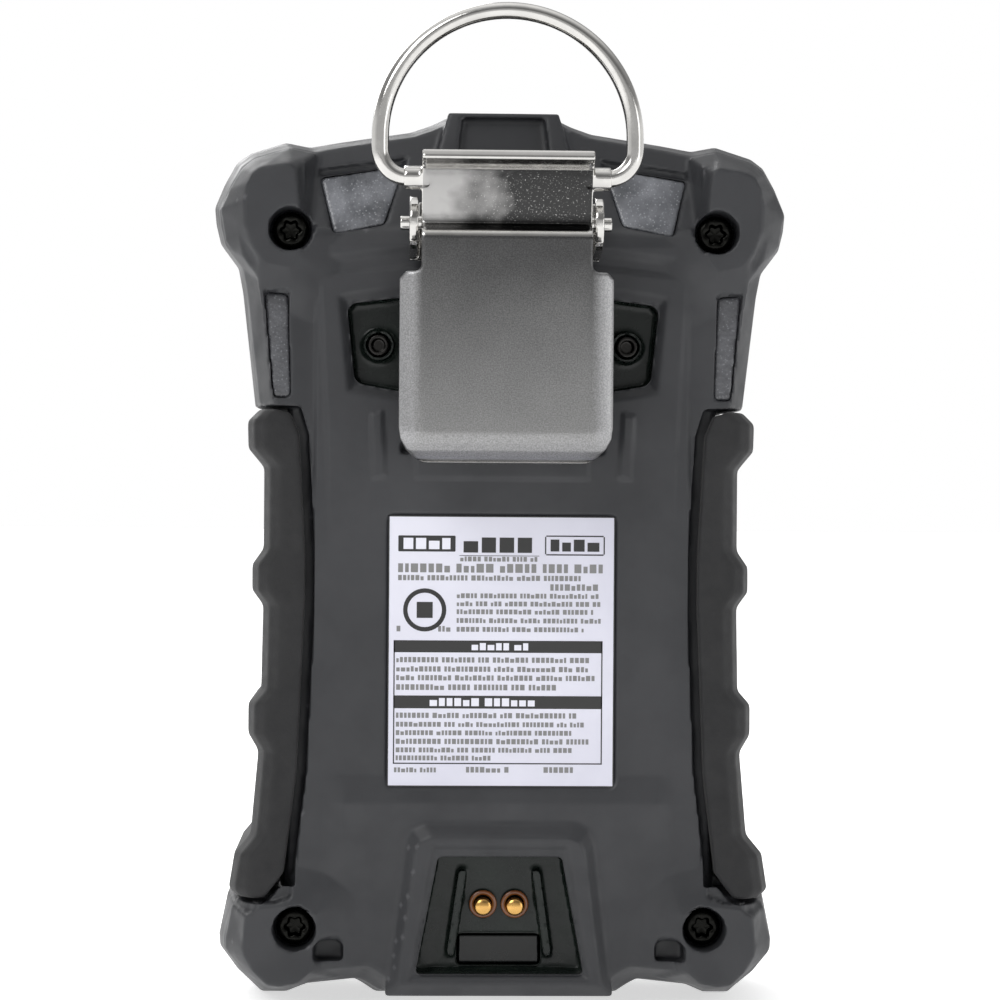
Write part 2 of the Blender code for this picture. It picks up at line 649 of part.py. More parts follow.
def side_lens(name, side):
    part(plate(name, grown(SIDE_LENS, side, 0), *SIDE_LENS_Y), (0.2, 0.21, 0.23), 0.35)


def charging_port():
    block = box("contact_block", (-6.6, 6.6), (3.4, RECESS_FLOOR_Y - WALL - GAP), (9.9, 15.8), 0.4)
    cut(block, *both_sides(lambda side: rod("pin_hole", (side * CONTACT_X, 8, CONTACT_Z), 0.9, 12, sides=12)))
    part(block, *BLACK)
    for name, side in SIDES:
        pin = turned(f"contact_pin_{name}", (
            (0, 14.0), (0.5, 13.9), (0.9, 13.6), (1.1, 13.1), (1.1, 10.6), (0.6, 10.6), (0.6, 3.2), (0, 3.2)),
            (side * CONTACT_X, CONTACT_Z), sides=16)
        part(pin, *GOLD)
    window = box("infrared_window", (-INFRARED[0], INFRARED[0]), (10.6, 11.9), INFRARED[1:])
    part(window, (0.02, 0.01, 0.015), 0.1)


def threaded_inserts():
    for name, side in SIDES:
        insert = turned(f"threaded_insert_{name}", (
            (0, 12.9), (0.85, 12.9), (0.85, 14.1), (1.3, 14.1), (1.3, 12.5), (0, 12.5)),
            (side * POCKET_BOSS[0], POCKET_BOSS[1]), sides=16)
        part(insert, (0.1, 0.1, 0.1), 0.3, 1.0)


# Clip

def clip_base_plate():
    z0, z1 = BASE_Z
    y0 = SEAT_Y + GAP
    base = plate("clip_base_plate", rectangle(BASE_HALF_X, z0, z1, 1.5), y0, y0 + SHEET)
    for side in (1, -1):
        foot = box("ear_foot", sorted((side * 8.0, side * EAR_X[1])), (y0, y0 + SHEET), (93.4, 100.6))
        ear = side_profile("ear", [(y0, 93.4), (PIN_Y + 0.6, 94.4)]
                           + arc((PIN_Y, PIN_Z), 3.3, -60, 100, 10) + [(y0, 100.6)],
                           *sorted((side * EAR_X[0], side * EAR_X[1])))
        join(base, foot, ear)
        cut(base, rod("pin_hole", (side * 11.3, PIN_Y, PIN_Z), PIN_R + GAP, 4, axis="X"))
    for z in CLIP_SCREW_Z:
        cut(base, rod("screw_hole", (0, y0 + 0.5, z), 1.6, 4, sides=16))
    part(base, *STEEL)


def clip_screws():
    y0 = SEAT_Y + GAP + SHEET + GAP
    for i, z in enumerate(CLIP_SCREW_Z, start=1):
        screw = turned(f"clip_screw_{i}", (
            (0, y0 + 1.2), (1.6, y0 + 1.1), (2.4, y0 + 0.5), (2.4, y0), (1.15, y0), (1.15, 10.6), (0, 10.6)),
            (0, z), sides=16)
        cut(screw, rod("drive_socket", (0, y0 + 1.2, z), 0.8, 1.4, sides=6))
        part(screw, *STEEL)


def clip_hinge_pin():
    pin = rod("clip_hinge_pin", (0, PIN_Y, PIN_Z), PIN_R, 2 * PIN_HALF, axis="X")
    part(pin, *STEEL)


def lever_profile():
    """The bent sheet's outer face from the jaw's tip to the end of the thumb tab, as (y, z)."""
    jaw = [(18.2, FLAP_BOTTOM_Z + 0.8), (19.2, FLAP_BOTTOM_Z), (23.2, FLAP_BOTTOM_Z)]
    jaw += arc((FLAP_Y - JAW_R, FLAP_BOTTOM_Z + JAW_R), JAW_R, -70, -6, 4)
    crest = arc((FLAP_Y - CREST[1], CREST[0]), CREST[1], 0, 80, 4)
    tab = arc(TAB_ARC[:2], TAB_ARC[2], 180, TAB_END, 8)
    return jaw + crest + tab


def clip_lever():
    # The sheet's outer face runs up the flap, so its thickness lies to the left of that direction.
    outline = strip(lever_profile(), -SHEET)
    lever = side_profile("clip_lever", outline, -FLAP_HALF_X, FLAP_HALF_X)
    half = [(0, THUMB_TOP_Z + 3), (NECK_HALF_X, THUMB_TOP_Z + 3), (NECK_HALF_X, SHOULDER_Z + 0.5),
            (NECK_HALF_X + 0.5, SHOULDER_Z), (FLAP_HALF_X - 0.8, SHOULDER_Z), (FLAP_HALF_X, SHOULDER_Z - 0.8)]
    low_z = FLAP_BOTTOM_Z - 0.05  # just clear of the sheet's lower face
    half += arc((FLAP_HALF_X - FLAP_CORNER_R, low_z + FLAP_CORNER_R), FLAP_CORNER_R, 0, -90, 5)
    half += [(0, low_z)]
    shape = plate("lever_shape", mirrored(half), 10, 40)
    boolean(lever, "INTERSECT", [shape])
    for side in (1, -1):
        x0, x1 = sorted((side * (CURL_X[0] - 0.6), side * CURL_X[1]))
        join(lever, rod("curl", ((x0 + x1) / 2, RING_Y, RING_Z), CURL_R, x1 - x0, axis="X", sides=16))
        inner = sorted((side * 8.6, side * 9.8))
        knuckle = side_profile("knuckle", arc((PIN_Y, PIN_Z), 2.2, 60, 300, 8)
                               + [(FLAP_Y - 0.9, 91.0), (FLAP_Y - 0.9, 95.2), (TAB_ARC[0] - TAB_ARC[2] - 0.5, 97.8)],
                               *inner)
        join(lever, knuckle)
        cut(lever, rod("pin_hole", (side * 9.2, PIN_Y, PIN_Z), PIN_R + GAP, 3, axis="X"))
        cut(lever, rod("ring_hole", (side * 11.8, RING_Y, RING_Z), RING_END_R + 0.25, 3.4, axis="X", sides=12))
    part(lever, *STEEL, origin=(0, PIN_Y, PIN_Z), parent=LEVER_AXIS)


def ring_path():
    """The bent wire from one end to the other, as (x, z) about the ring's hinge."""
    side = [(RING_R - RING_CORNER_R, 0.0)]
    side += arc((RING_R - RING_CORNER_R, RING_CORNER_R), RING_CORNER_R, -90, 0, 4)[1:]
    top = arc((0, RING_CENTRE_UP), RING_R, 0, 180, 20)
    return side + top + [(-x, z) for x, z in reversed(side)]


def d_ring():
    points = [(x, RING_Y, RING_Z + z) for x, z in ring_path()]
    wire = tube("ring_wire", points, WIRE_R, (0, RING_Y, RING_Z), STEEL)
    graph = bpy.context.evaluated_depsgraph_get()
    mesh = bpy.data.meshes.new_from_object(wire.evaluated_get(graph))
    bm = bmesh.new()
    bm.from_mesh(mesh)
    bmesh.ops.remove_doubles(bm, verts=bm.verts, dist=0.00001)
    ring = add_mesh("d_ring", bm)
    ring.matrix_world = wire.matrix_world
    ring.location = Vector((0, RING_Y, RING_Z)) * MM
    bpy.data.objects.remove(wire)
    tip, root = CURL_X[0] + 0.7, CURL_X[1] + GAP
    for side in (1, -1):
        cut(ring, box("end_trim", sorted((side * 6, side * root)), (RING_Y - 3, RING_Y + 3),
                      (RING_Z - 3, RING_Z + 2)))
        join(ring, rod("ring_end", (side * (tip + root + 0.4) / 2, RING_Y, RING_Z), RING_END_R,
                       root + 0.4 - tip, axis="X", sides=10))
    part(ring, *STEEL, parent=RING_AXIS)


def spring_coil(x0, x1, turns, steps=8):
    count = turns * steps
    points = []
    for i in range(count + 1):
        angle = 2 * math.pi * i / steps
        points.append((x0 + (x1 - x0) * i / count, PIN_Y + SPRING_R * math.sin(angle),
                       PIN_Z - SPRING_R * math.cos(angle)))
    return points


def clip_spring():
    coil = spring_coil(-SPRING_HALF_X, SPRING_HALF_X, SPRING_TURNS)
    rest_y = SEAT_Y + GAP + SHEET + GAP + SPRING_WIRE_R
    leg = [(-SPRING_HALF_X, 18.6, 93.0), (-SPRING_HALF_X, rest_y, 86.0)]
    tube("clip_spring", leg[::-1] + coil, SPRING_WIRE_R, (0, PIN_Y, PIN_Z), STEEL)
    arm_y = FLAP_Y - SHEET - GAP - SPRING_WIRE_R
    arm = [(SPRING_HALF_X + 1.0, 24.6, 94.6), (SPRING_HALF_X + 1.0, arm_y, 90.0),
           (SPRING_HALF_X + 1.0, arm_y, 84.0)]
    tube("clip_spring_arm", arm, SPRING_WIRE_R, (0, PIN_Y, PIN_Z), STEEL, parent=LEVER_AXIS)


# Front face

def display():
    half_x, z0, z1 = WINDOW
    window = plate("display_window", rectangle(half_x, z0, z1, 1.8), -BUMPER_Y, -BUMPER_Y + 1.2)
    part(window, (0.05, 0.06, 0.06), 0.08)
    gasket = plate("display_gasket", rectangle(half_x - 0.6, z0 + 0.6, z1 - 0.6, 1.4), -13.5, -12.9)
    cut(gasket, plate("gasket_hole", rectangle(half_x - 3.0, z0 + 3.0, z1 - 3.0, 1), -16, -10))
    part(gasket, *BLACK)
    part(box("lcd_module", (-18, 18), (-12.6, -9.4), (62.0, 87.0), 0.3), (0.3, 0.36, 0.3), 0.2)


def front_keys():
    for name, x, colour in (("left_button", -KEY_X, (0.12, 0.12, 0.13)), ("power_button", 0, (0.1, 0.16, 0.12)),
                            ("right_button", KEY_X, (0.12, 0.12, 0.13))):
        key = loft(name, key_outline(x), ((KEY_Y[0], 0.7), (KEY_Y[0] + 0.7, 0), (KEY_Y[1], 0)))
        join(key, plate("key_flange", arc((x, KEY_Z), KEY_R + 1.6, 0, 345, 23), KEY_Y[1] - 0.4, KEY_Y[1]))
        part(key, colour, 0.7, origin=(x, KEY_Y[1], KEY_Z))
    pad = box("keypad_membrane", (-21, 21), (-11.8, -11.2), (46.8, 58.6))
    part(pad, (0.03, 0.03, 0.03), 0.8)


def sensors():
    names = ("gas_sensor_oxygen", "gas_sensor_toxic", "gas_sensor_combustible")
    colours = ((0.75, 0.75, 0.72), (0.1, 0.2, 0.5), (0.5, 0.5, 0.5))
    for name, colour, x in zip(names, colours, sensor_places()):
        profile = ((0, -0.2), (1.0, -0.2), (1.0, -1.2), (SENSOR_R - 0.4, -1.2), (SENSOR_R - 0.4, -9.6),
                   (SENSOR_R - 1.0, -10.2), (SENSOR_R - 1.0, -11.6), (0, -11.6))
        part(turned(name, profile, (x, SENSOR_Z)), colour, 0.4)
    holder = box("sensor_holder", (-22.6, 22.6), (-8.6, -6.2), (18.0, 40.0), 0.5)
    cut(holder, *[rod("sensor_hole", (x, -7, SENSOR_Z), SENSOR_R - 0.4 + GAP, 8) for x in sensor_places()])
    part(holder, *BLACK)
    seal = box("sensor_gasket", (-22.4, 22.4), (-13.5, -11.9), (21.6, 36.4))
    cut(seal, *[rod("sensor_hole", (x, -12, SENSOR_Z), SENSOR_R - 1.6, 8) for x in sensor_places()])
    part(seal, (0.05, 0.05, 0.05), 0.9)
    half_x, z0, z1 = COVER
    filter_sheet = plate("dust_filter", rectangle(half_x - 1.2, 21.6, z1 - 1.2, 2), -15.1, -14.7)
    part(filter_sheet, (0.75, 0.75, 0.72), 0.95)
    cover = loft("sensor_cover", rectangle(half_x, z0, z1, 2.8), ((-15.4, 0), (-16.6, 0), (-17.3, 0.7)))
    for x in sensor_places():
        cut(cover, rod("inlet", (x, -16, SENSOR_Z + 1.5), 3.4, 8))
    for x, z in cover_screw_places():
        cut(cover, rod("cover_screw_hole", (x, -16, z), 1.3, 8, sides=12),
            rod("cover_screw_sink", (x, -17.4, z), 2.3, 2.6, sides=16))
    part(cover, *CASING)
    for (x, z), (side, _) in zip(cover_screw_places(), SIDES):
        screw = turned(f"sensor_cover_screw_{side}", (
            (0, -11.4), (0.9, -11.4), (0.9, -16.4), (2.0, -16.4), (2.0, -17.0), (0, -17.2)), (x, z), sides=16)
        part(screw, *STEEL)


def front_lens(name, side):
    lens = plate(name, front_lens_outline(side), -PANEL_Y + 0.1, -PANEL_Y + 2.0)
    part(lens, (0.5, 0.05, 0.04), 0.25)


# Inside

def electronics():
    board = box("main_board", (-24, 24), (1.2, 2.4), (17.4, 88.6))
    part(board, *BOARD)
    part(box("battery_pack", (-21, 21), (3.0, 12.2), (24.4, 68.0), 1.2), (0.06, 0.12, 0.3), 0.4)
    sounder = turned("buzzer", ((0, -3.6), (5.6, -3.6), (5.9, -4.0), (5.9, -9.6), (1.2, -9.6), (1.2, -9.0),
                                (0, -9.0)), (0, 100.0))
    part(sounder, *BLACK)
    for i, x in enumerate((14.6, 18.6, -14.6, -18.6), start=1):
        part(box(f"alarm_led_{i}", (x - 1.2, x + 1.2), (8.0, 9.2), (99.6, 101.6)), (0.8, 0.75, 0.6), 0.3)
    motor = rod("vibration_motor", (-14.0, 6.2, 79.0), 2.4, 11.0, axis="X")
    cut(motor, rod("shaft_hole", (-9.0, 6.2, 79.0), 0.8, 6.0, axis="X", sides=12))
    part(motor, *STEEL)
    weight = side_profile("vibration_weight", arc((6.2, 79.0), 2.6, 180, 360, 8), -7.4, -3.6)
    join(weight, rod("shaft", (-7.0, 6.2, 79.0), 0.5, 7.4, axis="X", sides=12))
    part(weight, (0.5, 0.48, 0.4), 0.3, 1.0, origin=(-7.0, 6.2, 79.0))


LEVER_AXIS = axis_empty("clip_lever_axis", (0, PIN_Y, PIN_Z))
RING_AXIS = axis_empty("d_ring_axis", (0, RING_Y, RING_Z), parent=LEVER_AXIS)

rear_housing()
front_housing()
housing_gasket()
housing_screws()
grip("right_grip", 1)
grip("left_grip", -1)
rating_label()
alarm_lens("alarm_lens_right", 1)
alarm_lens("alarm_lens_left", -1)
side_lens("side_lens_right", 1)
side_lens("side_lens_left", -1)
front_lens("front_lens_right", 1)
front_lens("front_lens_left", -1)
charging_port()
threaded_inserts()
clip_base_plate()
clip_screws()
clip_hinge_pin()
clip_spring()
clip_lever()
d_ring()
display()
front_keys()
sensors()
electronics()
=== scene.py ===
"""Looks for the portable gas detector: moulded shells, sheet metal, rubber and label around its CAD."""

import math
import random

import bmesh
import bpy
import numpy as np
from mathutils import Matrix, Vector


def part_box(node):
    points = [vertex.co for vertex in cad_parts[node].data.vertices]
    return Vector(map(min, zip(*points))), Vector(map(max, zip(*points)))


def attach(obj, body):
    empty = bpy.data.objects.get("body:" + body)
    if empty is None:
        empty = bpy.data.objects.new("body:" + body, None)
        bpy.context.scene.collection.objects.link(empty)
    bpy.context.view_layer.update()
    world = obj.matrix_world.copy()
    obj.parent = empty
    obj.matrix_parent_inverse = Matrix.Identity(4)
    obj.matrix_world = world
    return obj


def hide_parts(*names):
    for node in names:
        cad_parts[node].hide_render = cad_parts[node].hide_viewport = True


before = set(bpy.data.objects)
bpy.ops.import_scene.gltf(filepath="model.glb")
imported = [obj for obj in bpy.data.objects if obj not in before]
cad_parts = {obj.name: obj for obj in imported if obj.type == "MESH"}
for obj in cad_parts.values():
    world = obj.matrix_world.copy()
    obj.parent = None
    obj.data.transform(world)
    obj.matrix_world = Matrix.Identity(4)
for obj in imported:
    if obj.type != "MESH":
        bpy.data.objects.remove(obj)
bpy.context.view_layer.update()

MM = 0.001  # sizes below are in millimetres, in the CAD's frame, and angles in degrees

# Camera and stage
CAMERA_AZIMUTH = 178.0
CAMERA_ROLL = 0.4  # anticlockwise
CAMERA_DISTANCE = 0.400
CAMERA_X, CAMERA_Z = -0.00025, 0.0637
VIEW_WIDTH = 0.130
BACK_WALL = 0.6  # brightness of the studio's wall on the clip's side, beside 1 on the front's
SENSOR_WIDTH = 36.0

# How finely the moulded and bent pieces are modelled
SHELL_VOXEL = 0.3
GRIP_VOXEL = 0.3
COVER_VOXEL = 0.25
SHEET_VOXEL = 0.2
KEY_VOXEL = 0.16
LENS_VOXEL = 0.14
DATA_WINDOW_VOXEL = 0.12
INSERT_VOXEL = 0.09


# ---------------------------------------------------------------- mesh tools

def link(name, mesh):
    piece = bpy.data.objects.new(name, mesh)
    bpy.context.scene.collection.objects.link(piece)
    return piece


def built(name, work):
    """A piece from a finished bmesh."""
    mesh = bpy.data.meshes.new(name)
    work.to_mesh(mesh)
    work.free()
    return link(name, mesh)


def smooth_shaded(mesh):
    mesh.polygons.foreach_set("use_smooth", [True] * len(mesh.polygons))
    mesh.update()
    return mesh


def node_mesh(node):
    """A copy of a CAD node's mesh with its split corners made one."""
    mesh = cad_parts[node].data.copy()
    mesh.materials.clear()
    work = bmesh.new()
    work.from_mesh(mesh)
    bmesh.ops.remove_doubles(work, verts=work.verts, dist=0.001 * MM)
    work.to_mesh(mesh)
    work.free()
    return mesh


def applied(piece):
    """The piece with its modifiers turned into its mesh."""
    graph = bpy.context.evaluated_depsgraph_get()
    mesh = bpy.data.meshes.new_from_object(piece.evaluated_get(graph))
    piece.modifiers.clear()
    piece.data = smooth_shaded(mesh)
    return piece


def remeshed(piece, voxel, passes):
    """Rebuilt as an even fine mesh, which rounds its edges, and smoothed by that many passes."""
    grid = piece.modifiers.new("grid", "REMESH")
    grid.mode = "VOXEL"
    grid.voxel_size = voxel * MM
    ease = piece.modifiers.new("ease", "SMOOTH")
    ease.factor = 0.5
    ease.iterations = passes
    return applied(piece)


def fine_copy(name, node, voxel, passes):
    return remeshed(link(name, node_mesh(node)), voxel, passes)


def reshape(piece, change):
    """Moves the piece's vertices: change takes and returns their places in mm, and takes their normals."""
    mesh = piece.data
    count = len(mesh.vertices)
    places = np.empty(count * 3)
    mesh.vertices.foreach_get("co", places)
    normals = np.empty(count * 3)
    mesh.vertex_normals.foreach_get("vector", normals)
    places = change(places.reshape(-1, 3) / MM, normals.reshape(-1, 3))
    mesh.vertices.foreach_set("co", (places * MM).ravel())
    mesh.update()


def face_centres(mesh):
    centres = np.empty(len(mesh.polygons) * 3)
    mesh.polygons.foreach_get("center", centres)
    return centres.reshape(-1, 3) / MM


def paint_faces(piece, masks_and_slots):
    """Gives the faces inside each mask the material slot named with it; the others keep slot 0."""
    index = np.zeros(len(piece.data.polygons), dtype=np.int32)
    for mask, slot in masks_and_slots:
        index[mask] = slot
    piece.data.polygons.foreach_set("material_index", index)


def ramp(low, high, value):
    return np.clip((value - low) / (high - low), 0, 1)


def soft_ramp(low, high, value):
    t = ramp(low, high, value)
    return t * t * (3 - 2 * t)


def depth_inside(outline, x, z):
    """How far each point lies inside a closed outline, negative outside."""
    best = np.full(x.shape, 1e9)
    inside = np.zeros(x.shape, dtype=bool)
    for (x0, z0), (x1, z1) in zip(outline, outline[1:] + outline[:1]):
        dx, dz = x1 - x0, z1 - z0
        t = np.clip(((x - x0) * dx + (z - z0) * dz) / (dx * dx + dz * dz), 0, 1)
        best = np.minimum(best, np.hypot(x - x0 - t * dx, z - z0 - t * dz))
        if dz:
            crosses = ((z0 > z) != (z1 > z)) & (x < x0 + (z - z0) * dx / dz)
            inside ^= crosses
    return np.where(inside, best, -best)


def block(outline, slope, x, z):
    """1 inside an outline and 0 outside it, with a slope of that width inside its edge."""
    return soft_ramp(0, slope, depth_inside(outline, x, z))


def turned(name, centre, profile, segments=72):
    """A solid turned about the Y direction: profile holds (radius, y, depth of six lobes) from tip to root."""
    cx, cz = centre
    work = bmesh.new()
    rings = []
    for radius, y, lobes in profile:
        if radius == 0:
            rings.append([work.verts.new(Vector((cx, y, cz)) * MM)])
            continue
        ring = []
        for i in range(segments):
            angle = 2 * math.pi * i / segments
            reach = radius * (1 + lobes * math.cos(6 * angle))
            ring.append(work.verts.new(
                Vector((cx + reach * math.cos(angle), y, cz + reach * math.sin(angle))) * MM))
        rings.append(ring)
    for first, second in zip(rings, rings[1:]):
        for i in range(segments):
            corners = [first[i % len(first)], first[(i + 1) % len(first)],
                       second[(i + 1) % len(second)], second[i % len(second)]]
            corners = list(dict.fromkeys(corners))
            if len(corners) > 2:
                work.faces.new(corners)
    bmesh.ops.recalc_face_normals(work, faces=work.faces)
    piece = built(name, work)
    smooth_shaded(piece.data)
    return piece


def wire(name, points, radius, steps=24, cyclic=False):
    """A round wire along a smooth curve through points."""
    curve = bpy.data.curves.new(name, "CURVE")
    curve.dimensions = "3D"
    curve.bevel_depth = radius * MM
    curve.bevel_resolution = steps // 4
    curve.use_fill_caps = True
    spline = curve.splines.new("POLY")
    spline.points.add(len(points) - 1)
    for target, point in zip(spline.points, points):
        target.co = (*(Vector(point) * MM), 1)
    spline.use_cyclic_u = cyclic
    holder = link(name, curve)
    graph = bpy.context.evaluated_depsgraph_get()
    mesh = bpy.data.meshes.new_from_object(holder.evaluated_get(graph))
    bpy.data.objects.remove(holder)
    return link(name, smooth_shaded(mesh))


def prisms(name, outlines, y_from, y_to, bevel=0.0):
    """One mesh of many flat shapes, each outline in (x, z), from one y to another."""
    work = bmesh.new()
    for outline in outlines:
        low = [work.verts.new(Vector((x, y_from, z)) * MM) for x, z in outline]
        high = [work.verts.new(Vector((x, y_to, z)) * MM) for x, z in outline]
        count = len(outline)
        work.faces.new(low)
        work.faces.new(high)
        for i in range(count):
            work.faces.new((low[i], low[(i + 1) % count], high[(i + 1) % count], high[i]))
    bmesh.ops.recalc_face_normals(work, faces=work.faces)
    piece = built(name, work)
    if bevel:
        edge = piece.modifiers.new("edge", "BEVEL")
        edge.width = bevel * MM
        edge.segments = 2
        edge.limit_method = "ANGLE"
        applied(piece)
    return piece


def arc(centre, radius, start, end, steps):
    cx, cz = centre
    turns = [math.radians(start + (end - start) * i / steps) for i in range(steps + 1)]
    return [(cx + radius * math.cos(t), cz + radius * math.sin(t)) for t in turns]


def rounded(x0, x1, z0, z1, radius, steps=5):
    corners = ((x1 - radius, z1 - radius, 0), (x0 + radius, z1 - radius, 90),
               (x0 + radius, z0 + radius, 180), (x1 - radius, z0 + radius, 270))
    return [point for x, z, turn in corners for point in arc((x, z), radius, turn, turn + 90, steps)]


def box_mm(node):
    low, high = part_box(node)
    return [v / MM for v in low], [v / MM for v in high]


def finish_piece(piece, body, materials, nodes=()):
    """Rides the piece on its body, gives it its materials and hides the CAD nodes it stands for."""
    for material in materials:
        piece.data.materials.append(material)
    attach(piece, body)
    if nodes:
        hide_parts(*nodes)
    return piece


# ---------------------------------------------------------------- materials

def colour_band(nodes, stops):
    """A colour ramp through (position, colour) stops."""
    band = nodes.new("ShaderNodeValToRGB")
    first, last = band.color_ramp.elements
    first.position, first.color = stops[0][0], (*stops[0][1], 1)
    last.position, last.color = stops[-1][0], (*stops[-1][1], 1)
    for position, colour in stops[1:-1]:
        band.color_ramp.elements.new(position).color = (*colour, 1)
    return band


class Surface:
    """A procedural material built up in steps, with noises read in the piece's own coordinates."""

    def __init__(self, name, roughness=0.5, metallic=0.0):
        self.material = bpy.data.materials.new(name)
        self.material.use_nodes = True
        self.nodes = self.material.node_tree.nodes
        self.links = self.material.node_tree.links
        self.shader = self.nodes["Principled BSDF"]
        self.shader.inputs["Roughness"].default_value = roughness
        self.shader.inputs["Metallic"].default_value = metallic
        self.place = self.nodes.new("ShaderNodeTexCoord").outputs["Object"]
        self.normal = None

    def set(self, **values):
        for name, value in values.items():
            self.shader.inputs[name.replace("_", " ")].default_value = value
        return self

    def stretched(self, scale):
        mapping = self.nodes.new("ShaderNodeMapping")
        mapping.inputs["Scale"].default_value = scale
        self.links.new(self.place, mapping.inputs["Vector"])
        return mapping.outputs["Vector"]

    def noise(self, size, detail=3.0, stretch=(1, 1, 1), roughness=0.55):
        """Noise whose features are about size mm across."""
        noise = self.nodes.new("ShaderNodeTexNoise")
        noise.inputs["Scale"].default_value = 1
        noise.inputs["Detail"].default_value = detail
        noise.inputs["Roughness"].default_value = roughness
        scale = [1 / (size * MM * s) for s in stretch]
        self.links.new(self.stretched(scale), noise.inputs["Vector"])
        return noise.outputs["Fac"]

    def speckle(self, size):
        cells = self.nodes.new("ShaderNodeTexVoronoi")
        cells.inputs["Scale"].default_value = 1
        self.links.new(self.stretched([1 / (size * MM)] * 3), cells.inputs["Vector"])
        return cells.outputs["Distance"]

    def edges(self):
        return self.nodes.new("ShaderNodeNewGeometry").outputs["Pointiness"]

    def spread(self, value, low, high, to_low, to_high):
        reach = self.nodes.new("ShaderNodeMapRange")
        for name, number in (("From Min", low), ("From Max", high), ("To Min", to_low), ("To Max", to_high)):
            reach.inputs[name].default_value = number
        self.links.new(value, reach.inputs["Value"])
        return reach.outputs["Result"]

    def between(self, value, stops):
        """A colour picked by value from (position, colour) stops."""
        band = colour_band(self.nodes, stops)
        self.links.new(value, band.inputs["Fac"])
        return band.outputs["Color"]

    def maths(self, operation, *values):
        node = self.nodes.new("ShaderNodeMath")
        node.operation = operation
        for value, socket in zip(values, node.inputs):
            self.links.new(value, socket)
        return node.outputs[0]

    def axis(self, name):
        """The piece's own coordinate along X, Y or Z, in metres."""
        split = self.nodes.new("ShaderNodeSeparateXYZ")
        self.links.new(self.place, split.inputs["Vector"])
        return split.outputs[name]

    def mixed(self, factor, first, second, blend="MIX"):
        mix = self.nodes.new("ShaderNodeMix")
        mix.data_type = "RGBA"
        mix.blend_type = blend
        if isinstance(factor, float):
            mix.inputs["Factor"].default_value = factor
        else:
            self.links.new(factor, mix.inputs["Factor"])
        for socket, value in ((mix.inputs[6], first), (mix.inputs[7], second)):
            if isinstance(value, tuple):
                socket.default_value = (*value, 1)
            else:
                self.links.new(value, socket)
        return mix.outputs[2]

    def colour(self, value):
        self.links.new(value, self.shader.inputs["Base Color"])
        return self

    def rough(self, value, low, high, to_low, to_high):
        self.links.new(self.spread(value, low, high, to_low, to_high), self.shader.inputs["Roughness"])
        return self

    def bump(self, value, height, strength=1.0):
        """Adds relief height mm deep."""
        bump = self.nodes.new("ShaderNodeBump")
        bump.inputs["Strength"].default_value = strength
        bump.inputs["Distance"].default_value = height * MM
        self.links.new(value, bump.inputs["Height"])
        if self.normal:
            self.links.new(self.normal, bump.inputs["Normal"])
        self.normal = bump.outputs["Normal"]
        self.links.new(self.normal, self.shader.inputs["Normal"])
        return self


def moulded(name, dark, light, edge_wear_and_highlight, roughness=(0.42, 0.6), grain=0.018):
    """Hard plastic with faint cloudiness, a spark-eroded grain and edges painted a little lighter, partly as rubbing
    and partly as a painted rim-light highlight.
    """
    surface = Surface(name)
    base = surface.between(surface.noise(9, 4), ((0.35, dark), (0.65, light)))
    # Painted highlight: sharp edges take the lighter colour, standing in for rim light as well as for rubbing.
    worn_and_highlit_edges = surface.between(surface.edges(), ((0.54, (0, 0, 0)), (0.68, (1, 1, 1))))
    surface.colour(surface.mixed(worn_and_highlit_edges, base, edge_wear_and_highlight))
    surface.rough(surface.noise(5, 3), 0.35, 0.65, *roughness)
    surface.bump(surface.noise(0.28, 2), grain, 0.6)
    return surface.material


def rubber(name, dark, light):
    surface = Surface(name)
    surface.colour(surface.between(surface.noise(6, 5), ((0.3, dark), (0.7, light))))
    surface.rough(surface.noise(1.5, 3), 0.3, 0.7, 0.62, 0.78)
    surface.bump(surface.noise(0.35, 3), 0.05, 0.7)
    surface.bump(surface.noise(0.5, 2, stretch=(12, 12, 1)), 0.03, 0.5)
    surface.set(Sheen_Weight=0.06, Sheen_Roughness=0.5, Specular_IOR_Level=0.35)
    return surface.material


PAINTED_SHADE_HEIGHTS = (72.0, 96.0)  # painted shade: the sheet is painted brightest at the first height and darkest by the second, standing in for the darker studio reflected in its top
PAINTED_HIGHLIGHT_SIDES = (10.3, 11.4)  # painted highlight: its bent-back side strips are painted pale between these distances from the middle
PAINTED_HIGHLIGHT_BOTTOM = (69.6, 72.0)  # and its bottom strip gets the same painted highlight below the first height, and is plain above the second


def blasted_steel(name, dark, light, pale, roughness=(0.3, 0.44), grain=0.025, size=0.17):
    """Bead-blasted stainless sheet: an even sparkling grain under faint clouds, painted shade darkening it towards
    its top, and a painted highlight paling it along its edges.
    """
    surface = Surface(name, metallic=1.0)
    lit_z, shaded_z = PAINTED_SHADE_HEIGHTS
    # Painted shade: the colour runs from light at the lower height to dark at the upper one.
    height = surface.spread(surface.axis("Z"), lit_z * MM, shaded_z * MM, 1.0, 0.0)
    wander = surface.spread(surface.noise(12, 2), 0.3, 0.7, -0.12, 0.12)
    clouds = surface.between(surface.maths("ADD", height, wander), ((0.0, dark), (1.0, light)))
    # Painted highlight: the bent-back side strips and the bottom strip are painted pale.
    side_from, side_to = PAINTED_HIGHLIGHT_SIDES
    sides = surface.spread(surface.maths("ABSOLUTE", surface.axis("X")), side_from * MM, side_to * MM, 0.0, 1.0)
    low, high = PAINTED_HIGHLIGHT_BOTTOM
    bottom = surface.spread(surface.axis("Z"), low * MM, high * MM, 1.0, 0.0)
    clouds = surface.mixed(surface.maths("MAXIMUM", sides, bottom), clouds, pale)
    grains = surface.between(surface.noise(size, 3), ((0.36, (0.64, 0.64, 0.64)), (0.66, (1, 1, 1))))
    surface.colour(surface.mixed(1.0, clouds, grains, "MULTIPLY"))
    surface.rough(surface.noise(size * 1.4, 2), 0.3, 0.7, *roughness)
    surface.bump(surface.noise(size, 2), grain, 0.8)
    return surface.material


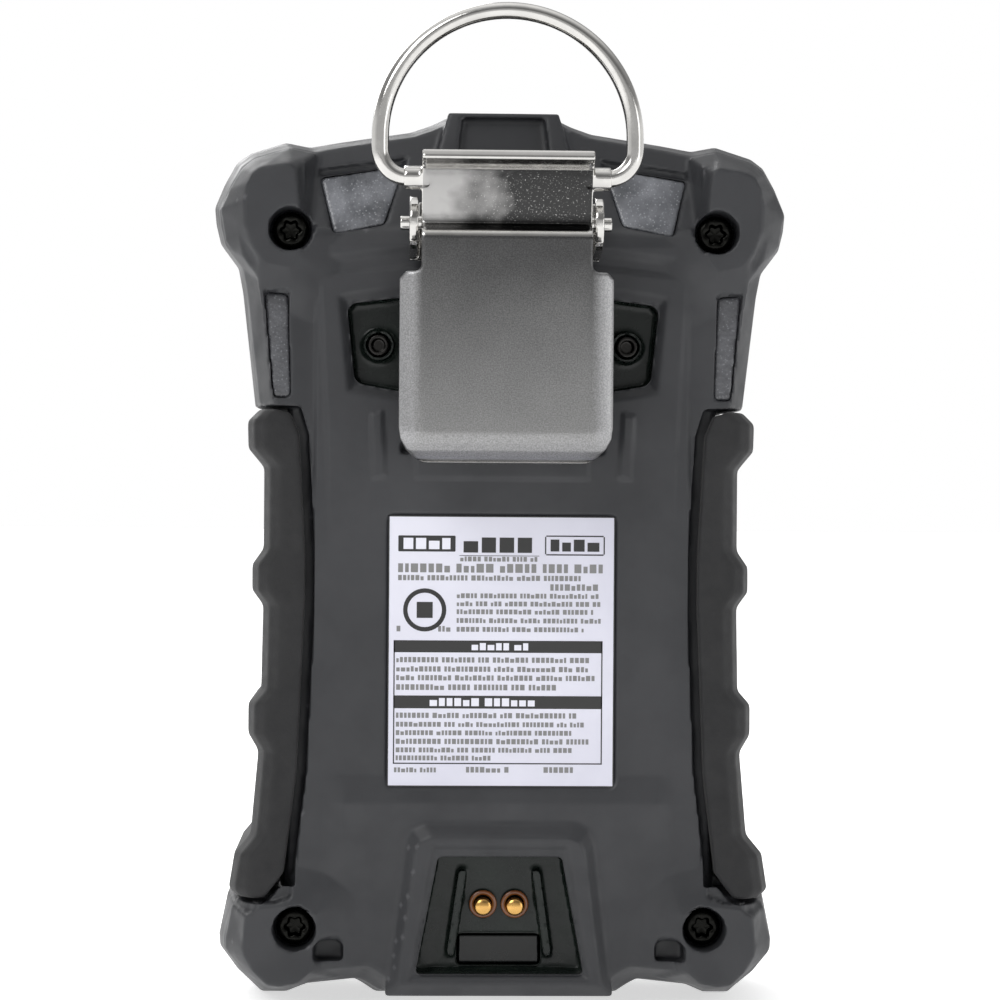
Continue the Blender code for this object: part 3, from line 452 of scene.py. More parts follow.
def polished_steel(name, tone=(0.62, 0.61, 0.59), roughness=(0.08, 0.2), waves=0.03):
    surface = Surface(name, metallic=1.0)
    dark = tuple(v * 0.86 for v in tone)
    surface.colour(surface.between(surface.noise(3, 4), ((0.3, dark), (0.7, tone))))
    surface.rough(surface.noise(0.8, 4), 0.3, 0.75, *roughness)
    surface.bump(surface.noise(2.4, 3), waves, 0.5)
    surface.bump(surface.noise(0.25, 2, stretch=(1, 1, 4)), 0.004, 0.4)
    return surface.material


PAINTED_LIGHT_X = (-3.0, 11.0)  # painted light and shade: the tab is painted dark at the first of these and bright at the second


def smudged_and_side_lit_steel(name, dark, light):
    """Polished steel with faint smudges and pin-prick marks, painted dark towards one side and bright towards the
    other as painted light falling from that side.
    """
    surface = Surface(name, metallic=1.0)
    shaded_x, lit_x = PAINTED_LIGHT_X
    # Painted light: the colour brightens across X, standing in for light falling on one side.
    painted_side_light = surface.spread(surface.axis("X"), shaded_x * MM, lit_x * MM, 0.0, 1.0)
    wander = surface.spread(surface.noise(7, 3), 0.3, 0.7, -0.3, 0.3)
    base = surface.between(surface.maths("ADD", painted_side_light, wander), ((0.25, dark), (0.75, light)))
    pricks = surface.between(surface.noise(0.19, 2), ((0.62, (0, 0, 0)), (0.72, (1, 1, 1))))
    surface.colour(surface.mixed(pricks, base, light))
    surface.rough(surface.noise(1.5, 4), 0.3, 0.7, 0.12, 0.26)
    surface.bump(surface.noise(2.4, 3), 0.03, 0.5)
    return surface.material


def glossy(name, dark, light, roughness=(0.12, 0.25), coat=0.4, specular=0.5):
    surface = Surface(name)
    surface.colour(surface.between(surface.noise(4, 3), ((0.3, dark), (0.7, light))))
    surface.rough(surface.noise(2, 3), 0.3, 0.7, *roughness)
    surface.bump(surface.noise(3, 2), 0.02, 0.4)
    surface.set(Coat_Weight=coat, Coat_Roughness=0.08, Specular_IOR_Level=specular)
    return surface.material


def frosted(name, dark, light, spark):
    """Clear plastic with a pebbled back, seen as a speckled grey."""
    surface = Surface(name)
    clouds = surface.between(surface.noise(4.5, 3), ((0.32, dark), (0.68, light)))
    dots = surface.between(surface.speckle(0.42), ((0.05, (1, 1, 1)), (0.3, (0, 0, 0))))
    surface.colour(surface.mixed(dots, clouds, spark))
    surface.rough(surface.noise(1.2, 3), 0.3, 0.7, 0.16, 0.34)
    surface.bump(surface.speckle(0.5), 0.05, 0.6)
    surface.set(Coat_Weight=0.35, Coat_Roughness=0.12)
    return surface.material


def fabric(name, dark, light):
    surface = Surface(name, roughness=0.85)
    weave = surface.noise(0.3, 2, stretch=(1, 1, 3))
    surface.colour(surface.between(weave, ((0.3, dark), (0.7, light))))
    surface.bump(weave, 0.06, 0.9)
    return surface.material


CASING = moulded("casing", (0.0215, 0.0225, 0.0255), (0.028, 0.029, 0.0325), (0.068, 0.068, 0.074))
GRIP = rubber("grip_rubber", (0.013, 0.013, 0.014), (0.018, 0.018, 0.019))
SEAL = rubber("seal_rubber", (0.012, 0.012, 0.013), (0.02, 0.02, 0.02))
BLACK = moulded("black_plastic", (0.012, 0.013, 0.013), (0.02, 0.021, 0.021), (0.04, 0.04, 0.04))
# Painted shade: a near-black glossy colour for the pocket's and the charging port's recessed faces, standing in for
# the shade inside them.
RECESS_SHADE = glossy("recess_painted_shade", (0.006, 0.009, 0.008), (0.011, 0.016, 0.013), (0.18, 0.34), 0.12, 0.25)
FLAP = blasted_steel("flap_steel", (0.112, 0.112, 0.113), (0.31, 0.31, 0.308), (0.37, 0.37, 0.375))
STEEL = polished_steel("spring_steel")
TAB = smudged_and_side_lit_steel("tab_steel", (0.042, 0.042, 0.042), (0.36, 0.355, 0.35))
BLACK_STEEL = polished_steel("black_steel", (0.030, 0.029, 0.028), (0.18, 0.4), 0.01)
# Painted shade: a darker copy of the black steel, for the housing screws deep in their holes.
SHADED_BLACK_STEEL = polished_steel("shaded_black_steel", (0.012, 0.012, 0.011), (0.16, 0.35), 0.01)
ALARM_LENS = frosted("alarm_lens", (0.074, 0.078, 0.087), (0.215, 0.222, 0.242), (0.34, 0.35, 0.37))
SIDE_LENS = frosted("side_lens", (0.044, 0.045, 0.050), (0.092, 0.094, 0.103), (0.19, 0.195, 0.21))
FRONT_LENS = frosted("front_lens", (0.25, 0.27, 0.28), (0.42, 0.45, 0.46), (0.7, 0.72, 0.74))
GOLD = polished_steel("gold", (0.72, 0.42, 0.13), (0.18, 0.3), 0.01)
DATA_WINDOW = glossy("data_window", (0.006, 0.007, 0.007), (0.010, 0.011, 0.011), (0.14, 0.22), 0.1, 0.3)
COLLAR = glossy("pin_collar", (0.09, 0.024, 0.005), (0.17, 0.055, 0.012))
GLASS = glossy("display_glass", (0.008, 0.009, 0.010), (0.012, 0.013, 0.015), (0.05, 0.09))
PANE = glossy("display_pane", (0.10, 0.11, 0.11), (0.12, 0.13, 0.13), (0.03, 0.05), 1.0)
PANE.node_tree.nodes["Principled BSDF"].inputs["Alpha"].default_value = 0.14
LCD = glossy("lcd", (0.20, 0.24, 0.20), (0.25, 0.29, 0.24), (0.3, 0.4))
INK = moulded("lcd_ink", (0.010, 0.012, 0.012), (0.016, 0.018, 0.018), (0.02, 0.02, 0.02))
KEY = rubber("key_rubber", (0.020, 0.020, 0.022), (0.030, 0.030, 0.032))
POWER_KEY = rubber("power_key_rubber", (0.030, 0.055, 0.036), (0.045, 0.075, 0.050))
KEY_MARK = moulded("key_mark", (0.50, 0.50, 0.49), (0.60, 0.60, 0.59), (0.7, 0.7, 0.7))
FILM = moulded("label_film", (0.62, 0.62, 0.71), (0.67, 0.67, 0.76), (0.74, 0.74, 0.82), (0.3, 0.4), 0.002)
PRINT = moulded("label_print", (0.008, 0.008, 0.009), (0.014, 0.014, 0.015), (0.02, 0.02, 0.02), (0.3, 0.4), 0.002)
FAINT_PRINT = moulded("label_small_print", (0.10, 0.10, 0.11), (0.15, 0.15, 0.16), (0.2, 0.2, 0.2), (0.3, 0.4),
                      0.002)
BOARD = glossy("board", (0.008, 0.055, 0.025), (0.014, 0.085, 0.04), (0.3, 0.45))
WRAP = glossy("battery_wrap", (0.02, 0.05, 0.12), (0.03, 0.07, 0.16), (0.25, 0.4))
OXYGEN = moulded("oxygen_sensor", (0.30, 0.32, 0.36), (0.38, 0.40, 0.44), (0.5, 0.5, 0.5))
TOXIC = moulded("toxic_sensor", (0.45, 0.28, 0.04), (0.55, 0.36, 0.06), (0.6, 0.5, 0.2))
COMBUSTIBLE = moulded("combustible_sensor", (0.30, 0.05, 0.04), (0.38, 0.08, 0.06), (0.5, 0.2, 0.2))
FILTER = fabric("filter_fabric", (0.30, 0.30, 0.30), (0.48, 0.48, 0.47))
LED = glossy("led", (0.03, 0.03, 0.035), (0.05, 0.05, 0.055))
BRASS = polished_steel("weight_brass", (0.60, 0.44, 0.18), (0.25, 0.4))

SLOT_MATERIALS = {
    "casing": CASING, "grip_rubber": GRIP, "seal_rubber": SEAL, "black_plastic": BLACK, "spring_steel": STEEL,
    "black_steel": BLACK_STEEL, "label_film": FILM, "alarm_lens": ALARM_LENS, "front_lens": FRONT_LENS,
    "gold": GOLD, "display_glass": GLASS, "lcd": LCD, "key_rubber": KEY, "power_key_rubber": POWER_KEY,
    "board": BOARD, "battery_wrap": WRAP, "oxygen_sensor": OXYGEN, "toxic_sensor": TOXIC,
    "combustible_sensor": COMBUSTIBLE, "filter_fabric": FILTER, "led": LED, "weight_brass": BRASS,
}


def dress_nodes():
    """Every CAD node gets the finish of its slot, for those that stay on show."""
    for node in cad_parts.values():
        for slot in node.material_slots:
            slot.material = SLOT_MATERIALS[slot.material.name.split(".")[0]]


# ---------------------------------------------------------------- rear shell

# Relief of the back, each as a half outline in (|x|, z), the width of its slope and how far it rises
BROW = ([(-1, 99.0), (24.0, 97.6), (24.6, 92.6), (13.0, 94.2), (-1, 95.6)], 1.2, 0.45)
FRAME_FACE = ([(-1, 94.6), (23.3, 91.8), (22.3, 74.0), (21.6, 52.0), (-1, 52.0)], 0.5, 0.35)
FRAME_FADE = (56.0, 74.0)  # the frame runs out into the panel between these heights
FUNNEL = ([(-1, 92.4), (0, 92.4), (20.9, 89.3), (19.6, 77.0), (0, 73.6), (-1, 73.6)], 1.4, -0.75)
FIN = ([(16.7, 74.4), (14.9, 74.8), (14.4, 66.4), (16.3, 66.0)], 0.35, 0.35)
TONGUE = ([(-1, 74.0), (11.1, 74.0), (11.0, 66.2), (-1, 66.2)], 0.3, 0.4)
PORT_FUNNEL = ([(-1, 20.8), (8.7, 20.8), (11.6, 3.6), (-1, 3.6)], 0.9, -0.55)
LENS_SLOT = ([(12.0, 106.9), (23.3, 105.3), (23.4, 104.0), (12.4, 105.6)], 0.35, -0.9)
REAR_RELIEF = (BROW, FUNNEL, FIN, TONGUE, PORT_FUNNEL, LENS_SLOT)
FACET_Z, FACET_HALF_X, FACET_RISE = 25.8, 21.4, 0.7
FACET_REACH = (3.4, 12.0)  # how far the facet fades above and below its ridge
VALLEY = (23.4, 27.4, 0.55)  # the hollow outside the frame: x from, x to, depth
VALLEY_FROM_Z, VALLEY_TO_Z = (60, 70), (90, 93)  # it deepens over the first heights and ends over the second
FACET_END = (FACET_HALF_X - 2, FACET_HALF_X + 1)
FACING_BACK = (0.1, 0.5)  # relief grows from none to full as a surface's normal has this much Y
BACK_Y = 9.0  # the back's faces lie beyond this
PANEL_NEAR_Y = 14.3  # and its panel beyond this, above the screw seats, pits and grooves

# Gentle slopes that run the corner bumpers into the panel: a bumper's face, then z from and to, and the side's slope
APRON_TOP = ([(26.0, 104.8), (30.4, 104.8), (32.0, 102.8), (32.4, 100.6), (32.2, 97.4), (31.3, 94.8), (29.6, 93.0),
              (26.8, 92.4), (25.6, 94.0), (25.3, 97.6)], (80.0, 84.0), (96.0, 100.0), 0.28)
APRON_BOTTOM = ([(27.0, 13.0), (30.0, 12.6), (31.6, 11.8), (32.0, 7.8), (30.6, 4.8), (28.9, 3.2), (27.4, 3.0),
                 (23.6, 4.8), (22.6, 7.2), (22.8, 12.0)], (8.0, 9.6), (20.0, 24.0), 0.3)
APRON_X = ((17.0, 20.0), (30.2, 31.6))  # it fades in and out between these
APRON_STEEP = 1.3  # a bumper's own steep side is this wide
APRON_FACING = (0.02, 0.15)  # as FACING_BACK, for the aprons
APRON_HOLES = ((26.7, 97.3, 2.9), (25.6, 10.1, 2.9))  # the screws' holes: x, z and reach
APRON_PITS = ([(19.5, 6.0), (23.2, 6.0), (23.2, 8.0), (22.4, 8.7), (20.3, 8.7), (19.5, 8.0)],
              [(27.0, 89.4), (29.8, 89.4), (28.6, 76.4), (26.6, 76.4)],
              [(26.4, 14.2), (28.0, 13.55), (36.0, 13.3), (36.0, 16.0), (26.2, 18.0)])
APRON_PIT_MARGIN = 0.2  # an apron stops this far outside a pit
BUMPER_FACE_Y = 16.5

POCKET = [(0, 90.6), (18.8, 88.2), (19.5, 87.4), (18.6, 78.8), (17.9, 78.1), (0, 74.9), (-1, 74.9), (-1, 90.6)]
PORT = [(-1, 19.2), (7.7, 19.2), (10.5, 4.5), (-1, 4.5)]
PORT_RIM_Y = 15.4
POCKET_RIM_Y = 13.9
RECESS_SHADE_MARGIN = 0.15  # the painted recess shade reaches this far past the outlines


def rear_relief(places, normals):
    side, height = np.abs(places[:, 0]), places[:, 2]
    outer = soft_ramp(*FACING_BACK, normals[:, 1]) * (places[:, 1] > BACK_Y)
    rise = np.zeros(len(places))
    for outline, slope, amount in REAR_RELIEF:
        rise += amount * block(outline, slope, side, height)
    outline, slope, amount = FRAME_FACE
    rise += amount * block(outline, slope, side, height) * soft_ramp(*FRAME_FADE, height)
    inner_x, outer_x, depth = VALLEY
    span = soft_ramp(*VALLEY_FROM_Z, height) * (1 - soft_ramp(*VALLEY_TO_Z, height))
    rise -= depth * span * (side > inner_x) * (1 - soft_ramp(inner_x, outer_x, side))
    above, below = FACET_REACH
    over = height - FACET_Z
    ridge = np.where(over > 0, 1 - ramp(0, above, over), 1 - ramp(0, below, -over))
    rise += FACET_RISE * ridge * (1 - soft_ramp(*FACET_END, side))
    places[:, 1] += outer * rise
    for outline, low, high, slope in (APRON_TOP, APRON_BOTTOM):
        apron = BUMPER_FACE_Y + slope * np.minimum(depth_inside(outline, side, height), 0)
        held = soft_ramp(*low, height) * (1 - soft_ramp(*high, height))
        held *= soft_ramp(*APRON_X[0], side) * (1 - soft_ramp(*APRON_X[1], side))
        open_face = (places[:, 1] > PANEL_NEAR_Y) | (depth_inside(outline, side, height) > -APRON_STEEP)
        for centre_x, centre_z, reach in APRON_HOLES:
            open_face &= np.hypot(side - centre_x, height - centre_z) > reach
        for hole in APRON_PITS:
            open_face &= depth_inside(hole, side, height) < -APRON_PIT_MARGIN
        facing = soft_ramp(*APRON_FACING, normals[:, 1]) * (places[:, 1] > BACK_Y)
        places[:, 1] += facing * held * open_face * np.maximum(apron - places[:, 1], 0)
    return places


def rear_shell():
    shell = fine_copy("rear_shell", "rear_housing", SHELL_VOXEL, 3)
    reshape(shell, rear_relief)
    centres = face_centres(shell.data)
    side, y, height = np.abs(centres[:, 0]), centres[:, 1], centres[:, 2]
    # Painted shade: faces inside the pocket and the port, below their rims, take the near-black recess colour.
    pocket = (depth_inside(POCKET, side, height) > -RECESS_SHADE_MARGIN) & (y < POCKET_RIM_Y) & (y > BACK_Y)
    port = (depth_inside(PORT, side, height) > -RECESS_SHADE_MARGIN) & (y < PORT_RIM_Y) & (y > BACK_Y)
    paint_faces(shell, ((pocket, 1), (port, 1)))
    finish_piece(shell, "housing", (CASING, RECESS_SHADE), ("rear_housing",))


def front_shell():
    shell = fine_copy("front_shell", "front_housing", SHELL_VOXEL, 3)
    finish_piece(shell, "housing", (CASING,), ("front_housing",))


def grips():
    for name in ("right_grip", "left_grip"):
        grip = fine_copy(name + "_pad", name, GRIP_VOXEL, 8)
        finish_piece(grip, "housing", (GRIP,), (name,))


# ---------------------------------------------------------------- clip

FLAP_HALF_X, FLAP_BOTTOM_Z, FLAP_CORNER_R = 13.05, 68.1, 4.4
FLAP_ROLL = (3.4, 0.95)  # width of the strip that bends back along the flap's edges, and how far it goes
FLAP_NEAR_Y, ROLL_NEAR_Y = 24.0, 24.4  # the flap's painted part, and its rolled face, lie beyond these
SHOULDER_Z = 91.4
BEYOND = 20  # the outline of the rolled edge runs this far past the flap where it has no edge
FLAP_TO_Z, TAB_FROM_Z = 95.7, 96.5  # between the two the bend keeps the bright polished spring steel, a painted highlight
TAB_TO_Z, TAB_HALF_X, TAB_NEAR_Y = 103.6, 10.3, 24.6
# The ring: y and z of its hinge, radius, its centre's height above the hinge, corner radius, wire radius
RING = (26.0, 102.8, 15.5, 4.9, 3.4, 1.05)
RING_END_X = 11.3  # its wire enters the lever's curls here
CLIP_FITTINGS = (("clip_hinge_pin", "housing", 0.12), ("clip_spring", "housing", 0.1),
                 ("clip_spring_arm", "clip_lever", 0.1), ("clip_screw_1", "housing", 0.14),
                 ("clip_screw_2", "housing", 0.14))  # node, body and voxel


def roll_flap_edges(places, _normals):
    """Bends the sides and the bottom of the flap back, as a pressed sheet's edges are."""
    width, depth = FLAP_ROLL
    side, height = np.abs(places[:, 0]), places[:, 2]
    outline = [(-2 * BEYOND, SHOULDER_Z + BEYOND), (FLAP_HALF_X, SHOULDER_Z + BEYOND)]
    outline += arc((FLAP_HALF_X - FLAP_CORNER_R, FLAP_BOTTOM_Z + FLAP_CORNER_R), FLAP_CORNER_R, 0, -90, 8)
    outline += [(-2 * BEYOND, FLAP_BOTTOM_Z)]
    edge = 1 - ramp(0, width, depth_inside(outline, side, height))
    on_flap = (height < SHOULDER_Z + 0.4) & (places[:, 1] > ROLL_NEAR_Y)
    places[:, 1] -= on_flap * depth * edge ** 2
    return places


def clip_sheet():
    lever = fine_copy("clip_sheet", "clip_lever", SHEET_VOXEL, 4)
    reshape(lever, roll_flap_edges)
    centres = face_centres(lever.data)
    flap = (centres[:, 2] < FLAP_TO_Z) & (centres[:, 1] > FLAP_NEAR_Y)
    tab = (centres[:, 2] > TAB_FROM_Z) & (centres[:, 2] < TAB_TO_Z) & (np.abs(centres[:, 0]) < TAB_HALF_X)
    # Painted highlight: the bend between flap and tab is in neither mask and keeps the bright spring steel.
    paint_faces(lever, ((flap, 1), (tab & (centres[:, 1] > TAB_NEAR_Y), 2)))
    finish_piece(lever, "clip_lever", (STEEL, FLAP, TAB), ("clip_lever",))


def ring_wire():
    hinge_y, hinge_z, radius, rise, corner, wire_r = RING
    side = [(RING_END_X, 0.0), (radius - corner, 0.0)] + arc((radius - corner, corner), corner, -90, 0, 12)[1:]
    path = side + arc((0, rise), radius, 0, 180, 72) + [(-x, z) for x, z in reversed(side)]
    ring = wire("ring_wire", [(x, hinge_y, hinge_z + z) for x, z in path], wire_r)
    finish_piece(ring, "d_ring", (STEEL,), ("d_ring",))


def clip_base():
    plate = fine_copy("clip_plate", "clip_base_plate", SHEET_VOXEL, 3)
    finish_piece(plate, "housing", (STEEL,), ("clip_base_plate",))
    for name, body, voxel in CLIP_FITTINGS:
        finish_piece(fine_copy(name + "_fine", name, voxel, 4), body, (STEEL,), (name,))


# ---------------------------------------------------------------- small parts

# A screw's outline from the middle of its socket outwards: part of the radius, mm below the head's top, lobes
SCREW_SOCKET = ((0, 1.3, 0), (0.35, 1.3, 0.1), (0.475, 1.2, 0.16), (0.5, 0.12, 0.16), (0.55, 0.0, 0.13))
SCREW_HEAD = ((0.8, 0.06, 0), (0.94, 0.28, 0), (1, 0.6, 0), (1, 1.7, 0), (0.62, 1.75, 0))
SCREW_SHANK = 0.6
SCREW_SEGMENTS = 96
PIN_DOME, PIN_NECK = 0.45, 1.4  # depth of the contact pin's rounded tip, and where its plain side starts
# The collar's outline, each point as mm past the pin's radius and mm below the pin's tip
COLLAR_RINGS = ((0.08, 1.25), (0.3, 1.05), (0.62, 1.15), (0.66, 1.3), (0.08, 1.3), (0.08, 1.25))
COLLAR_LIFT = 0.25  # the collar's centre is above the pin's


def screw(name, node, material, body, tip_sign=1):
    """A pan-head screw with a six-lobed socket, in the CAD screw's box."""
    low, high = box_mm(node)
    centre = ((low[0] + high[0]) / 2, (low[2] + high[2]) / 2)
    radius = (high[0] - low[0]) / 2
    tip, root = (high[1], low[1]) if tip_sign > 0 else (low[1], high[1])

    def at(below):
        return tip - tip_sign * below

    profile = [(radius * part, at(below), lobes) for part, below, lobes in SCREW_SOCKET + SCREW_HEAD]
    profile += [(radius * SCREW_SHANK, root, 0), (0, root, 0)]
    piece = turned(name, centre, profile, SCREW_SEGMENTS)
    finish_piece(piece, body, (material,), (node,))


def screws():
    for i in range(1, 5):
        # The housing screws take the darker black steel, painted shade for their holes.
        screw(f"housing_screw_{i}_fine", f"housing_screw_{i}", SHADED_BLACK_STEEL, "housing")
    for side in ("right", "left"):
        node = "sensor_cover_screw_" + side
        screw(node + "_fine", node, BLACK_STEEL, "housing", -1)


def inserts_and_pins():
    for name in ("threaded_insert_right", "threaded_insert_left"):
        insert = fine_copy(name + "_fine", name, INSERT_VOXEL, 3)
        finish_piece(insert, "housing", (BLACK_STEEL,), (name,))
    window = fine_copy("infrared_window_fine", "infrared_window", DATA_WINDOW_VOXEL, 3)
    finish_piece(window, "housing", (DATA_WINDOW,), ("infrared_window",))
    for name in ("contact_pin_right", "contact_pin_left"):
        low, high = box_mm(name)
        centre = ((low[0] + high[0]) / 2, (low[2] + high[2]) / 2)
        radius = (high[0] - low[0]) / 2
        dome = [(radius * math.sin(t), high[1] - PIN_DOME * (1 - math.cos(t)), 0)
                for t in (math.radians(a) for a in range(0, 91, 15))]
        profile = dome + [(radius, high[1] - PIN_NECK, 0), (radius, low[1], 0), (0, low[1], 0)]
        finish_piece(turned(name + "_fine", centre, profile), "housing", (GOLD,), (name,))
        collar = [(radius + past, high[1] - down, 0) for past, down in COLLAR_RINGS]
        collar_piece = turned(name + "_collar", (centre[0], centre[1] + COLLAR_LIFT), collar)
        finish_piece(collar_piece, "housing", (COLLAR,), ())


LENS_SWELL = 0.24  # a lens fills its seat this much further out than the CAD's


def lenses():
    for side in ("right", "left"):
        for kind, material in (("alarm_lens", ALARM_LENS), ("side_lens", SIDE_LENS), ("front_lens", FRONT_LENS)):
            name = f"{kind}_{side}"
            lens = fine_copy(name + "_fine", name, LENS_VOXEL, 5)
            reshape(lens, lambda places, normals: places + normals * (1, 0, 1) * LENS_SWELL)
            finish_piece(lens, "housing", (material,), (name,))


# ---------------------------------------------------------------- label

LABEL_SEED = 11
PRINT_RISE, PRINT_SINK = 0.02, 0.01  # how far the print stands up from what it lies on, and sinks into it
FILM_CORNER_R, FILM_BEVEL, BAR_CORNER_R = 0.35, 0.05, 0.12
LETTER_GAP, WORD_GAP = 0.24, 0.5  # as parts of a letter's height
BOLD_LETTERS = (4, 8, 0.7, 1.0)  # letters in a word, and their width as parts of their height
SMALL_LETTERS = (3, 11, 0.4, 0.85)

# All measured in mm from the film's upper left corner as it is read: (x from, x to, y from, y to)
BARS = ((0.75, 26.9, 15.6, 17.1), (0.75, 26.9, 22.5, 24.1), (1.25, 8.4, 2.5, 4.5))
PLAIN_RULES = ((0.75, 0.9, 15.6, 31.0), (26.75, 26.9, 15.6, 31.0), (0.75, 26.9, 30.9, 31.05),
               (8.9, 18.9, 4.95, 5.02), (0, 28.4, 0, 0.15), (0, 28.4, 33.75, 33.9), (0, 0.15, 0, 33.9),
               (28.25, 28.4, 0, 33.9))
BADGE = (19.6, 27.1, 2.4, 4.9, 0.16)  # a rounded frame, and the width of its line
RING_MARK = (4.6, 11.8, 2.7, 0.55)  # a plain ring: x and y of its centre, radius, and its line's width
RING_MARK_TURN = 10
MARK_SQUARE = (3.6, 5.6, 10.8, 12.8)
BOLD_ROWS = ((9.4, 18.4, 2.7, 4.6), (20.3, 26.5, 2.9, 4.4))
WHITE_ROWS = ((1.9, 7.9, 2.8, 4.2), (10.5, 18.4, 15.9, 16.8), (5.3, 19.6, 22.8, 23.8))
SMALL_ROWS = (
    (9.0, 18.8, 5.1, 5.7), (1.25, 27.1, 6.0, 7.1), (1.25, 24.6, 7.45, 8.1), (20.3, 26.9, 8.5, 9.3),
    (8.6, 26.4, 9.7, 10.3), (8.6, 27.0, 10.7, 11.3), (8.6, 25.8, 11.7, 12.3), (8.6, 26.8, 12.8, 13.4),
    (8.6, 24.9, 13.9, 14.5), (6.3, 8.0, 13.8, 14.5), (1.1, 1.8, 13.8, 14.5),
    (1.1, 26.0, 17.7, 18.35), (1.1, 25.2, 18.85, 19.5), (1.1, 26.2, 19.95, 20.6), (1.1, 21.8, 21.1, 21.8),
    (1.1, 24.0, 24.65, 25.3), (1.1, 24.8, 25.8, 26.4), (1.1, 23.3, 26.85, 27.45), (1.1, 25.6, 27.9, 28.55),
    (1.1, 23.2, 29.0, 29.6), (1.1, 13.0, 30.0, 30.6), (0.9, 6.6, 31.5, 32.1), (9.9, 15.4, 31.4, 32.1),
    (19.6, 23.4, 31.4, 32.1),
)


DROP_CHANCE, DROP = 0.2, 0.25  # some letters are lower, by this part of their height


def ring_pieces(centre, outer, inner, turns, step):
    """A flat ring as four-cornered pieces, each step degrees long."""
    pieces = []
    for turn in turns:
        corners = ((outer, turn), (outer, turn + step), (inner, turn + step), (inner, turn))
        pieces.append([arc(centre, radius, angle, angle, 1)[0] for radius, angle in corners])
    return pieces


def word_blocks(row, letters, draw):
    """Blocks of letter size in words along a row, in place of text."""
    x, end, top, bottom = row
    fewest, most, narrow, wide = letters
    size = bottom - top
    blocks = []
    while x < end:
        for _ in range(draw.randint(fewest, most)):
            width = size * draw.uniform(narrow, wide)
            if x + width > end:
                break
            drop = 0 if draw.random() < 1 - DROP_CHANCE else size * DROP
            blocks.append((x, x + width, top + drop, bottom))
            x += width + size * LETTER_GAP
        x += size * WORD_GAP
    return blocks


def label():
    low, high = box_mm("rating_label")
    edge = rounded(low[0], high[0], low[2], high[2], FILM_CORNER_R)
    film = prisms("label_film_sheet", [edge], low[1], high[1], FILM_BEVEL)
    finish_piece(film, "housing", (FILM,), ("rating_label",))
    draw = random.Random(LABEL_SEED)

    def outlines(boxes, corner=0.0):
        """The boxes as outlines in the frame, where reading runs towards -X."""
        shapes = []
        for x0, x1, y0, y1 in boxes:
            box = (high[0] - x1, high[0] - x0, high[2] - y1, high[2] - y0)
            shapes.append(rounded(*box, corner, 3) if corner else
                          [(box[1], box[3]), (box[0], box[3]), (box[0], box[2]), (box[1], box[2])])
        return shapes

    def printed(name, shapes, material, level):
        face = high[1] + level * PRINT_RISE
        piece = prisms(name, shapes, face - PRINT_RISE - PRINT_SINK, face)
        finish_piece(piece, "housing", (material,), ())

    x0, x1, y0, y1, line = BADGE
    frame_bars = ((x0 + line, x1 - line, y0, y0 + line), (x0 + line, x1 - line, y1 - line, y1),
                  (x0, x0 + line, y0 + line, y1 - line), (x1 - line, x1, y0 + line, y1 - line))
    ring_x, ring_y, ring_r, ring_line = RING_MARK
    centre = (high[0] - ring_x, high[2] - ring_y)
    ring = ring_pieces(centre, ring_r, ring_r - ring_line, range(0, 360, RING_MARK_TURN), RING_MARK_TURN)
    bold = [block_box for row in BOLD_ROWS for block_box in word_blocks(row, BOLD_LETTERS, draw)]
    solid = outlines(PLAIN_RULES + frame_bars) + outlines(bold) + outlines((MARK_SQUARE,))
    printed("label_bars", outlines(BARS, BAR_CORNER_R), PRINT, 1)
    printed("label_rules", solid + ring, PRINT, 1)
    small = [block_box for row in SMALL_ROWS for block_box in word_blocks(row, SMALL_LETTERS, draw)]
    printed("label_small_rows", outlines(small), FAINT_PRINT, 1)
    white = [block_box for row in WHITE_ROWS for block_box in word_blocks(row, BOLD_LETTERS, draw)]
    printed("label_white_rows", outlines(white), FILM, 2)


# ---------------------------------------------------------------- front

WINDOW_OPENING = (17.0, 62.6, 86.4, 1.6)  # half width, z from, z to, corner radius
WINDOW_CORNER_R = 2.2
PANE_OVERLAP, PANE_FROM, PANE_TO = 0.05, 0.12, 0.7  # into the border, and its depths behind the border's face
LCD_CORNER_R, LCD_BEVEL, DIGIT_RISE = 0.6, 0.1, 0.05
LCD_RULES = ((-16.0, 16.0, 74.4, 74.7), (2.6, 2.9, 64.0, 85.2))  # x from, x to, z from, z to
LCD_TICKS = ((-14.6, 84.2), 1.5, 1.0, 0.8, 4)  # a row of blocks: its corner, spacing, width, height and number
SEGMENTS = {"0": "abcdef", "1": "bc", "2": "abdeg", "8": "abcdefg"}
READINGS = (("20.8", -14.5, 76.6), ("0", 9.0, 76.6), ("0", -6.5, 65.4), ("0", 9.0, 65.4))  # text, x from, z from
DIGIT = (4.0, 6.6, 0.85, 1.5)  # width, height, stroke, space after
DIGIT_TRIM, DIGIT_CORNER_R = 0.12, 0.2
POINT_SHIFT, POINT_SPACE, SMALL_CORNER_R = 0.2, 0.4, 0.1
KEY_MARK_RISE = 0.08
POWER_MARK = (1.9, 1.5)  # the open ring's outer and inner radius
POWER_TURNS, POWER_STEP = (-50, 230), 10
POWER_BAR = (0.22, 0.3, 2.2)  # half width, and its ends above the key's centre
ARROW = (1.5, 0.9, 1.4)  # half width, and its base's and tip's distances from the key's centre


def ring_prism(name, outer, inner, y_from, y_to):
    """A flat frame between two outlines of the same number of points."""
    work = bmesh.new()
    rings = [[work.verts.new(Vector((x, y, z)) * MM) for x, z in outline]
             for outline, y in ((outer, y_from), (inner, y_from), (inner, y_to), (outer, y_to))]
    count = len(outer)
    for first, second in zip(rings, rings[1:] + rings[:1]):
        for i in range(count):
            j = (i + 1) % count
            work.faces.new((first[i], first[j], second[j], second[i]))
    bmesh.ops.recalc_face_normals(work, faces=work.faces)
    return built(name, work)


